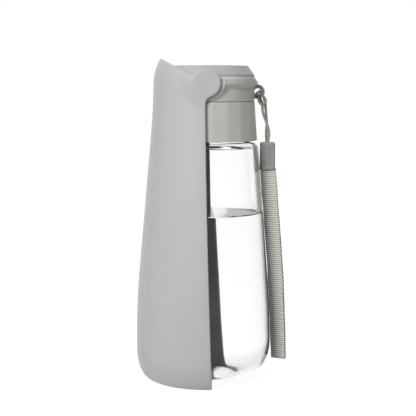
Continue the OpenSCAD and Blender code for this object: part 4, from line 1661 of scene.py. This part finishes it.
    def mouth_run(self, turn: float, low: float) -> float:
        """Where the mouth's slanting plane cuts the outer section at one angle, found by halving.

        Args:
            turn: angle about the axis from +X.
            low: a distance along the section that lies below the plane.

        Returns:
            The distance along the section.
        """
        slope = math.radians(self.mouth_slope)
        high = self.run[-1]
        for _ in range(40):
            mid = (low + high) / 2
            mid_r = np.interp(mid, self.run, self.outside[:, 0])
            mid_z = np.interp(mid, self.run, self.outside[:, 1])
            if mid_z - SIZES.pivot_z + mid_r * math.cos(turn) * math.tan(slope) < 0:
                low = mid
            else:
                high = mid
        return low

    def outline(self) -> np.ndarray:
        """Edge of the near half as angle and run, from the floor up and round the ear to the tip.

        Returns:
            The edge, one point to a row.
        """
        sides = np.asarray(self.side_edge())
        run = np.interp(sides[:, 1], self.outside[:, 1], self.run)
        r = np.interp(run, self.run, self.outside[:, 0])
        turn = np.arccos(np.clip(sides[:, 0] / r, -1, 1))
        mouth = [(a, self.mouth_run(a, run[-1])) for a in np.linspace(turn[-1], math.pi, 44)[1:]]
        return np.vstack([np.stack([turn, run], axis=1), np.asarray(mouth)])

    def inset(self, edge: np.ndarray, by: float) -> np.ndarray:
        """The edge moved into the wall.

        Args:
            edge: the edge as angle and run.
            by: how far it moves, in millimetres.

        Returns:
            The moved edge.
        """
        r = np.interp(edge[:, 1], self.run, self.outside[:, 0])
        way = np.gradient(edge, axis=0)
        flat = np.stack([way[:, 0] * r, way[:, 1]], axis=1)
        flat[0] = (0, 1)
        flat[-1] = (1, 0)
        flat /= np.linalg.norm(flat, axis=1)[:, None]
        moved = edge.copy()
        moved[:, 0] += flat[:, 1] * by / r
        moved[:, 1] -= flat[:, 0] * by
        return moved

    def chart(self, edge: np.ndarray) -> tuple[np.ndarray, list[Face], int]:
        """Triangles that fill the near half within its edge, in angle and run.

        Args:
            edge: the edge, from the floor to the tip.

        Returns:
            Points, triangles, and how many points of the edge of the flat floor follow the edge's own.
        """
        mm_per_radian = 38.0
        top = edge[-1, 1]
        seam = [(math.pi, s) for s in np.linspace(top, 0, int(top / self.step) + 1)[1:]]
        ring = [(a, 0.0) for a in np.linspace(math.pi, edge[0, 0], 42)[1:-1]]
        loop = np.vstack([edge, seam, ring])
        scale = np.array([mm_per_radian, 1.0])
        flat = loop * scale
        low, high = flat.min(0), flat.max(0)
        rows = np.arange(low[1] + self.step * 0.7, high[1], self.step * 0.87)
        inner = []
        for i, s in enumerate(rows):
            start = low[0] + (i % 2) * self.step / 2
            inner += [(a, s) for a in np.arange(start, high[0], self.step)]
        inner = np.asarray(inner)
        ahead = np.roll(flat, -1, axis=0)
        inside = np.zeros(len(inner), bool)
        nearest = np.full(len(inner), 1e9)
        for (x0, y0), (x1, y1) in zip(flat, ahead):
            crosses = (y0 > inner[:, 1]) != (y1 > inner[:, 1])
            if y0 != y1:
                reach = x0 + (inner[:, 1] - y0) * (x1 - x0) / (y1 - y0)
                inside ^= crosses & (inner[:, 0] < reach)
            side = np.array([x1 - x0, y1 - y0])
            t = np.clip(((inner - (x0, y0)) @ side) / max(side @ side, 1e-12), 0, 1)
            nearest = np.minimum(nearest, np.linalg.norm(inner - (x0, y0) - t[:, None] * side, axis=1))
        inner = inner[inside & (nearest > self.step * 0.45)]
        every = [Vector(p) for p in np.vstack([flat, inner])]
        n = len(flat)
        ties = [(i, (i + 1) % n) for i in range(n)]
        made, _, triangles, _, _, _ = delaunay_2d_cdt(every, ties, [], 1, 1e-6)
        return np.asarray([tuple(p) for p in made]) / scale, [tuple(t) for t in triangles], len(ring)

    def rim(self, edge: np.ndarray, drawn: np.ndarray) -> list[np.ndarray]:
        """Cross sections of the rounded edge along the near half.

        Args:
            edge: the edge itself.
            drawn: the edge moved into the wall by its rounding.

        Returns:
            One section of points for each point of the edge.
        """
        out0 = self.at(edge[:, 0], edge[:, 1])
        out1 = self.at(drawn[:, 0], drawn[:, 1])
        in0 = self.at(edge[:, 0], edge[:, 1], True)
        in1 = self.at(drawn[:, 0], drawn[:, 1], True)
        return [self.rounded(*ends) for ends in zip(out1, out0, in0, in1)]

    def rounded(self, out1: np.ndarray, out0: np.ndarray, in0: np.ndarray, in1: np.ndarray) -> np.ndarray:
        """One rounded section from the outer face to the inner.

        Args:
            out1: where the outer face ends.
            out0: outer corner of the square edge.
            in0: inner corner of the square edge.
            in1: where the inner face ends.

        Returns:
            The section's points.
        """
        through_wall = in0 - out0
        through_wall = through_wall / np.linalg.norm(through_wall)
        section = []
        for end, corner, sign in ((out1, out0, 1), (in1, in0, -1)):
            turns = np.radians([0, 22.5, 45, 67.5, 90])
            half = [
                end + (corner - end) * math.sin(a) + sign * through_wall * self.lip * (1 - math.cos(a))
                for a in turns
            ]
            section += half if sign > 0 else half[::-1]
        return np.asarray(section)

    def reached(self, points: np.ndarray) -> np.ndarray:
        """The points with the far rim brought forward below the ears.

        Args:
            points: points of the whole wall.

        Returns:
            The moved points.
        """
        x, y, z = points.T
        mid, low = self.rear_reach
        reach = mid + (low - mid) * np.clip(1 - z / self.rear_mid, 0, 1)
        far, front, high = (
            eased((value - start) / width) for value, (start, width) in zip((y, -x, z), self.rear_fade)
        )
        share = far * (1 - front) * (1 - high)
        moved = points.copy()
        moved[:, 0] += reach * share
        return moved

    def build(self) -> bpy.types.Object:
        """Make the trough as one closed, smooth wall.

        Returns:
            The trough.
        """
        edge = self.outline()
        drawn = self.inset(edge, self.lip)
        chart, triangles, ring_count = self.chart(drawn)
        points: list[np.ndarray] = []
        faces: list[Face] = []
        far = np.array([1, -1, 1])

        def add(new: np.ndarray, new_faces: Iterable[Face], flip: bool = False, twice: bool = True) -> None:
            """Add points and faces, and where asked their mirror images on the +Y side.

            Args:
                new: the points.
                new_faces: faces that number them from 0.
                flip: turn the faces over.
                twice: add the mirror images too.
            """
            for side, turn in ((np.ones(3), flip), (far, not flip))[: 1 + twice]:
                start = sum(len(p) for p in points)
                points.append(new * side)
                faces.extend(tuple(start + i for i in (f[::-1] if turn else f)) for f in new_faces)

        add(self.at(chart[:, 0], chart[:, 1]), triangles)
        add(self.at(chart[:, 0], chart[:, 1], True), triangles, True)
        sections = self.rim(edge, drawn)
        first = sections[0]
        add(np.vstack(sections), ring_faces(len(sections), len(first), close_columns=False))
        turns = np.linspace(drawn[0, 0], math.pi, ring_count + 2)
        for inner in (False, True):
            near = self.at(turns, np.zeros(len(turns)), inner)
            full = np.vstack([near, near[-2::-1] * far])
            add(full, [tuple(range(len(full)))], twice=False)
        across = np.linspace(1, -1, 24)
        chord = np.vstack([first * np.array([1, y, 1]) for y in across])
        add(chord, ring_faces(len(across), len(first), close_columns=False), twice=False)
        whole = self.reached(np.vstack(points))
        return piece("trough-shell", whole, faces, TROUGH_PLASTIC, Body.TROUGH, ["trough"], 50)


# Head and collar


@dataclass
class Head:
    """The grip collar, the skin of the head with its lip and hinge bosses, and the seal band.

    Args:
        facets: number of the collar's facets.
        collar_r: radius over the facet corners at the collar's lower and upper edge.
        collar_soft: rounding of the collar's edges.
        lead_deg: angle from +X to the first facet's corner.
        blunt: share of the radius that the facet corners lose to their rounding.
        ridge_under: how far the collar's ridges lie under the bottle's.
        boss_y: face of a hinge boss.
        boss_r: radius of a hinge boss.
        boss_soft: widths over which a boss's face and its edge run out.
        fairing_r: radius of the fairing round a boss, below it and beside it.
        fairing_deg: start and width of the fairing's fade below a boss, then of the one beside it.
        band: radii of the seal band's lower and upper step.
        band_h: height of the lower step over the lip.
        band_round: rounding of the lower step's foot, of its upper edge and of the upper step's edges.
        cap_flank: radii of the cap's leaning flank at its foot and its top edge.
        skin: how far the skin stands over the CAD solid.
        lip_slope: height of the slope up to the lip's full radius.
        lip_bow: how far that slope bows in below and out above, as a share of its depth.
        lip_clear: distance from the hinge at which the lip starts, and over what width.
        lip_round: height and depth of the rounding of the lip's upper edge.
        groove: depth of the fine groove under the lip, and half its width.
        groove_clear: distance from the hinge at which the groove starts, and over what width.
    """

    facets: int = 20
    collar_r: Flat = (32.9, 31.2)
    collar_soft: float = 0.25
    lead_deg: float = 6.0
    blunt: float = 0.0028
    ridge_under: float = 1.75
    boss_y: float = 31.4
    boss_r: float = 10.15
    boss_soft: Flat = (2.0, 0.3)
    fairing_r: Flat = (11.7, 14.4)
    fairing_deg: tuple[Flat, Flat] = ((-80.0, 12.0), (8.0, 8.0))
    band: Flat = (31.5, 30.9)
    band_h: float = 1.9
    band_round: Point = (0.3, 0.5, 0.2)
    cap_flank: Flat = (30.75, 26.5)
    skin: float = 0.06
    lip_slope: float = 2.6
    lip_bow: float = 0.06
    lip_clear: Flat = (9.0, 1.5)
    lip_round: Flat = (0.9, 0.7)
    groove: Flat = (0.4, 0.22)
    groove_clear: Flat = (15.0, 3.0)

    def facet_shape(self, turns: np.ndarray) -> np.ndarray:
        """Shape of the collar's outline: flat facets whose corners are rounded off.

        Args:
            turns: angles about the axis from +X.

        Returns:
            Its radii as shares of the radius over the corners.
        """
        step = math.tau / self.facets
        off = (turns - math.radians(self.lead_deg) + step) % step - step / 2
        to_corner = np.abs(off) / (step / 2)
        flat = math.cos(step / 2) / np.cos(off)
        rounded = np.minimum(flat, 1 - self.blunt - 0.002 * eased(to_corner))
        share = eased((to_corner - 0.78) / 0.2)
        return flat * (1 - share) + rounded * share

    def collar(self) -> bpy.types.Object:
        """The faceted collar with softened facet edges and its screw ridges inside.

        Returns:
            The collar.
        """
        columns = self.facets * 12
        z0, z1 = SIZES.collar_z0, SIZES.seam_z - 0.2
        soft = self.collar_soft
        heights = [(z0, -soft), (z0 + 0.13, -0.13), (z0 + soft, 0.0)]
        heights += [(z, 0.0) for z in np.linspace(z0 + soft, z1 - 0.3, 10)[1:]]
        heights += [(z1 - 0.08, -0.1), (z1, -0.3)]
        turns = np.linspace(0, math.tau, columns, endpoint=False)
        shape = self.facet_shape(turns)
        points = []
        for z, draw in heights:
            wide = self.collar_r[0] + (self.collar_r[1] - self.collar_r[0]) * (z - z0) / (z1 - z0)
            points += level_ring(wide * shape + draw, turns, z)
        bore = SIZES.collar_bore
        inside = [(bore + 0.3, z1), (bore, z1 - 0.3)]
        for i in (2, 1, 0):
            z = SIZES.ridge_z0 - self.ridge_under + i * SIZES.ridge_pitch
            inside += SIZES.ridge(bore, bore - SIZES.ridge_h, z)[::-1]
        inside += [(bore, z0 + 0.4), (bore + 0.4, z0)]
        for r, z in inside:
            points += level_ring(r, turns, z)
        faces = ring_faces(len(heights) + len(inside), columns, close_rows=True)
        return piece("grip-collar", points, faces, HEAD_PLASTIC, Body.HEAD, ["grip_collar"], 40)

    def skin_radius(self, turn: np.ndarray, z: float) -> np.ndarray:
        """Radius of the head's skin, with the lip behind and the bosses' fairings below the ears.

        Args:
            turn: angles about the axis from +X.
            z: height.

        Returns:
            The radii.
        """
        r = np.full(len(turn), SIZES.head_r + self.skin)
        x, y = r * np.cos(turn), np.abs(r * np.sin(turn))
        away = np.hypot(x, z - SIZES.pivot_z)
        round_h, round_in = self.lip_round
        swell = min(1.0, max(0.0, (z - SIZES.lip_foot) / self.lip_slope))
        swell = swell - self.lip_bow * math.sin(math.tau * swell)
        over = (z - SIZES.lip_z + round_h) / round_h
        if over > 0:
            swell -= (1 - math.sqrt(max(0.0, 1 - over**2))) * round_in / (SIZES.lip_r - SIZES.head_r)
        below = np.degrees(np.arctan2(z - SIZES.pivot_z, x))
        (from_deg, fade), (to_deg, fade_out) = self.fairing_deg
        facing = eased((below - from_deg) / fade) * eased((to_deg - below) / fade_out)
        under, beside = self.fairing_r
        fairing_r = under + (beside - under) * np.clip((below + 83) / 68, 0, 1) ** 2
        left = (fairing_r - away) / (fairing_r - self.boss_r)
        fairing = np.minimum(1.0, (np.sqrt(left**2 + 0.006) + left) / 2) * (away < 17) * facing
        start, width = self.lip_clear
        lipped = swell * eased((away - start) / width) * (x > 0)
        raised = 1 - (1 - lipped) * (1 - fairing)
        face_r = (self.boss_y + self.skin) / np.maximum(np.abs(np.sin(turn)), 0.2)
        plane, near = (1 - eased((away - self.boss_r) / soft) for soft in self.boss_soft)
        target = SIZES.lip_r + (face_r - SIZES.lip_r) * plane
        raised = np.maximum(raised, near * (y > 8))
        depth, half = self.groove
        start, width = self.groove_clear
        groove = depth * math.exp(-(((z - SIZES.lip_foot) / half) ** 2))
        groove = groove * eased((away - start) / width) * (x > 0)
        return np.maximum(r, r + raised * (target - r)) - groove

    def head(self) -> bpy.types.Object:
        """The head's skin, from the seam up over the lip to the seal band.

        Returns:
            The skin.
        """
        columns = 480
        turns = np.linspace(0, math.tau, columns, endpoint=False)
        z0, z1 = SIZES.seam_z, SIZES.lip_z + self.skin
        foot = SIZES.lip_foot
        heights = [z0, z0 + 0.1, z0 + 0.35, *np.linspace(z0 + 0.6, foot - 0.55, 27)]
        heights += [*np.linspace(foot - 0.4, foot + 0.4, 9), *np.linspace(foot + 0.6, z1 - 0.5, 15)]
        heights += [z1 - down for down in (0.4, 0.25, 0.12, 0.04, 0.0)]
        points = []
        for z in heights:
            points += level_ring(self.skin_radius(turns, z) - max(0.0, 0.35 - (z - z0)), turns, z)
        for z in (z1, z0):
            points += level_ring(SIZES.head_r - 1.9, turns, z)
        faces = ring_faces(len(heights) + 2, columns, close_rows=True)
        return piece("head-skin", points, faces, HEAD_PLASTIC, Body.HEAD, sharp_deg=40)

    def seal_band(self) -> bpy.types.Object:
        """The two-step silicone band between the lip and the cap.

        Returns:
            The band.
        """
        r0, r1 = self.band
        z0, z1 = SIZES.lip_z + 0.07, SIZES.cap_z0 - 0.01
        mid = SIZES.lip_z + self.band_h
        inner = SIZES.head_r - 2
        low, middle, high = self.band_round
        profile = [(inner, z0), (r0 - low, z0)]
        profile += arc((r0 - low, z0 + low), low, -90, 0, steps=4)[1:]
        profile += arc((r0 - middle, mid - middle), middle, 0, 90, steps=5)
        profile += [(r1 - 0.5, mid), (r1 - 0.5, mid + 0.45)]
        profile += arc((r1 - high, mid + 0.45 + high), high, -90, 0, steps=3)
        profile += arc((r1 - high, z1 - 0.4 - high), high, 0, 90, steps=3)
        profile += [(r1 - 0.8, z1 - 0.4), (r1 - 0.8, z1), (inner, z1)]
        points, faces = turned(profile, segments=192, closed=True)
        return piece("seal-band", points, faces, BAND_SILICONE, Body.HEAD, ["seal_band"], 40)

    def cap(self) -> bpy.types.Object:
        """The top cap with its slot and screw holes, its flank leaning in towards the top.

        Returns:
            The cap.
        """
        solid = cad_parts["top_cap"]
        points = [solid.matrix_world @ vertex.co / MM for vertex in solid.data.vertices]
        top = max(point.z for point in points)
        foot_r, top_r = self.cap_flank
        for point in points:
            r = math.hypot(point.x, point.y)
            if r > top_r - 0.5 and point.z > SIZES.cap_z0 - 0.01:
                up = (point.z - SIZES.cap_z0) / (top - SIZES.cap_z0)
                lean = (foot_r + (top_r - foot_r) * up) / r
                point.x *= lean
                point.y *= lean
        faces = [tuple(polygon.vertices) for polygon in solid.data.polygons]
        return piece("top-cap", points, faces, CAP_PLASTIC, Body.HEAD, ["top_cap"], 30)

    def build(self) -> None:
        """Make the collar, the skin, the band and the cap."""
        self.collar()
        self.head()
        self.cap()
        self.seal_band()


# CAD nodes that stay as they are and only get a finish


CAD_FINISHES: dict[str, Finish] = {
    # The head shell carries the painted shade at its eyelet.
    "head_shell": EYELET_PLASTIC,
    "cap_screws": STEEL,
    "bottle_gasket": GASKET_SILICONE,
    "valve_seat": GASKET_SILICONE,
    "valve_plug": GASKET_SILICONE,
    "valve_stem": VALVE_ACETAL,
    "stem_clip": STEEL,
    "rocker": VALVE_ACETAL,
    "rocker_pin": STEEL,
    "water_button": BUTTON_PLASTIC,
    "button_seal": BAND_SILICONE,
    "button_clip": STEEL,
    "pivot_pin_left": STEEL,
    "pivot_pin_right": STEEL,
    "pivot_washer_left": VALVE_ACETAL,
    "pivot_washer_right": VALVE_ACETAL,
}


def dress_cad_nodes() -> None:
    """Give each CAD node that is still shown its finish."""
    for name, finish in CAD_FINISHES.items():
        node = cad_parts[name]
        node.data.materials.clear()
        node.data.materials.append(finish.material())
        LOG.info("%s: finished as %s", name, finish.name)


def main() -> None:
    """Build the scene: camera and cords first, then the rest from the bottle outward."""
    logging.basicConfig(level=logging.INFO, format="%(name)s %(message)s")
    studio = Studio()
    studio.camera()
    Lanyard().build()
    Bottle().build()
    ValveSpring().build()
    Trough().build()
    Head().build()
    dress_cad_nodes()
    studio.build()


if __name__ == "__main__":
    main()
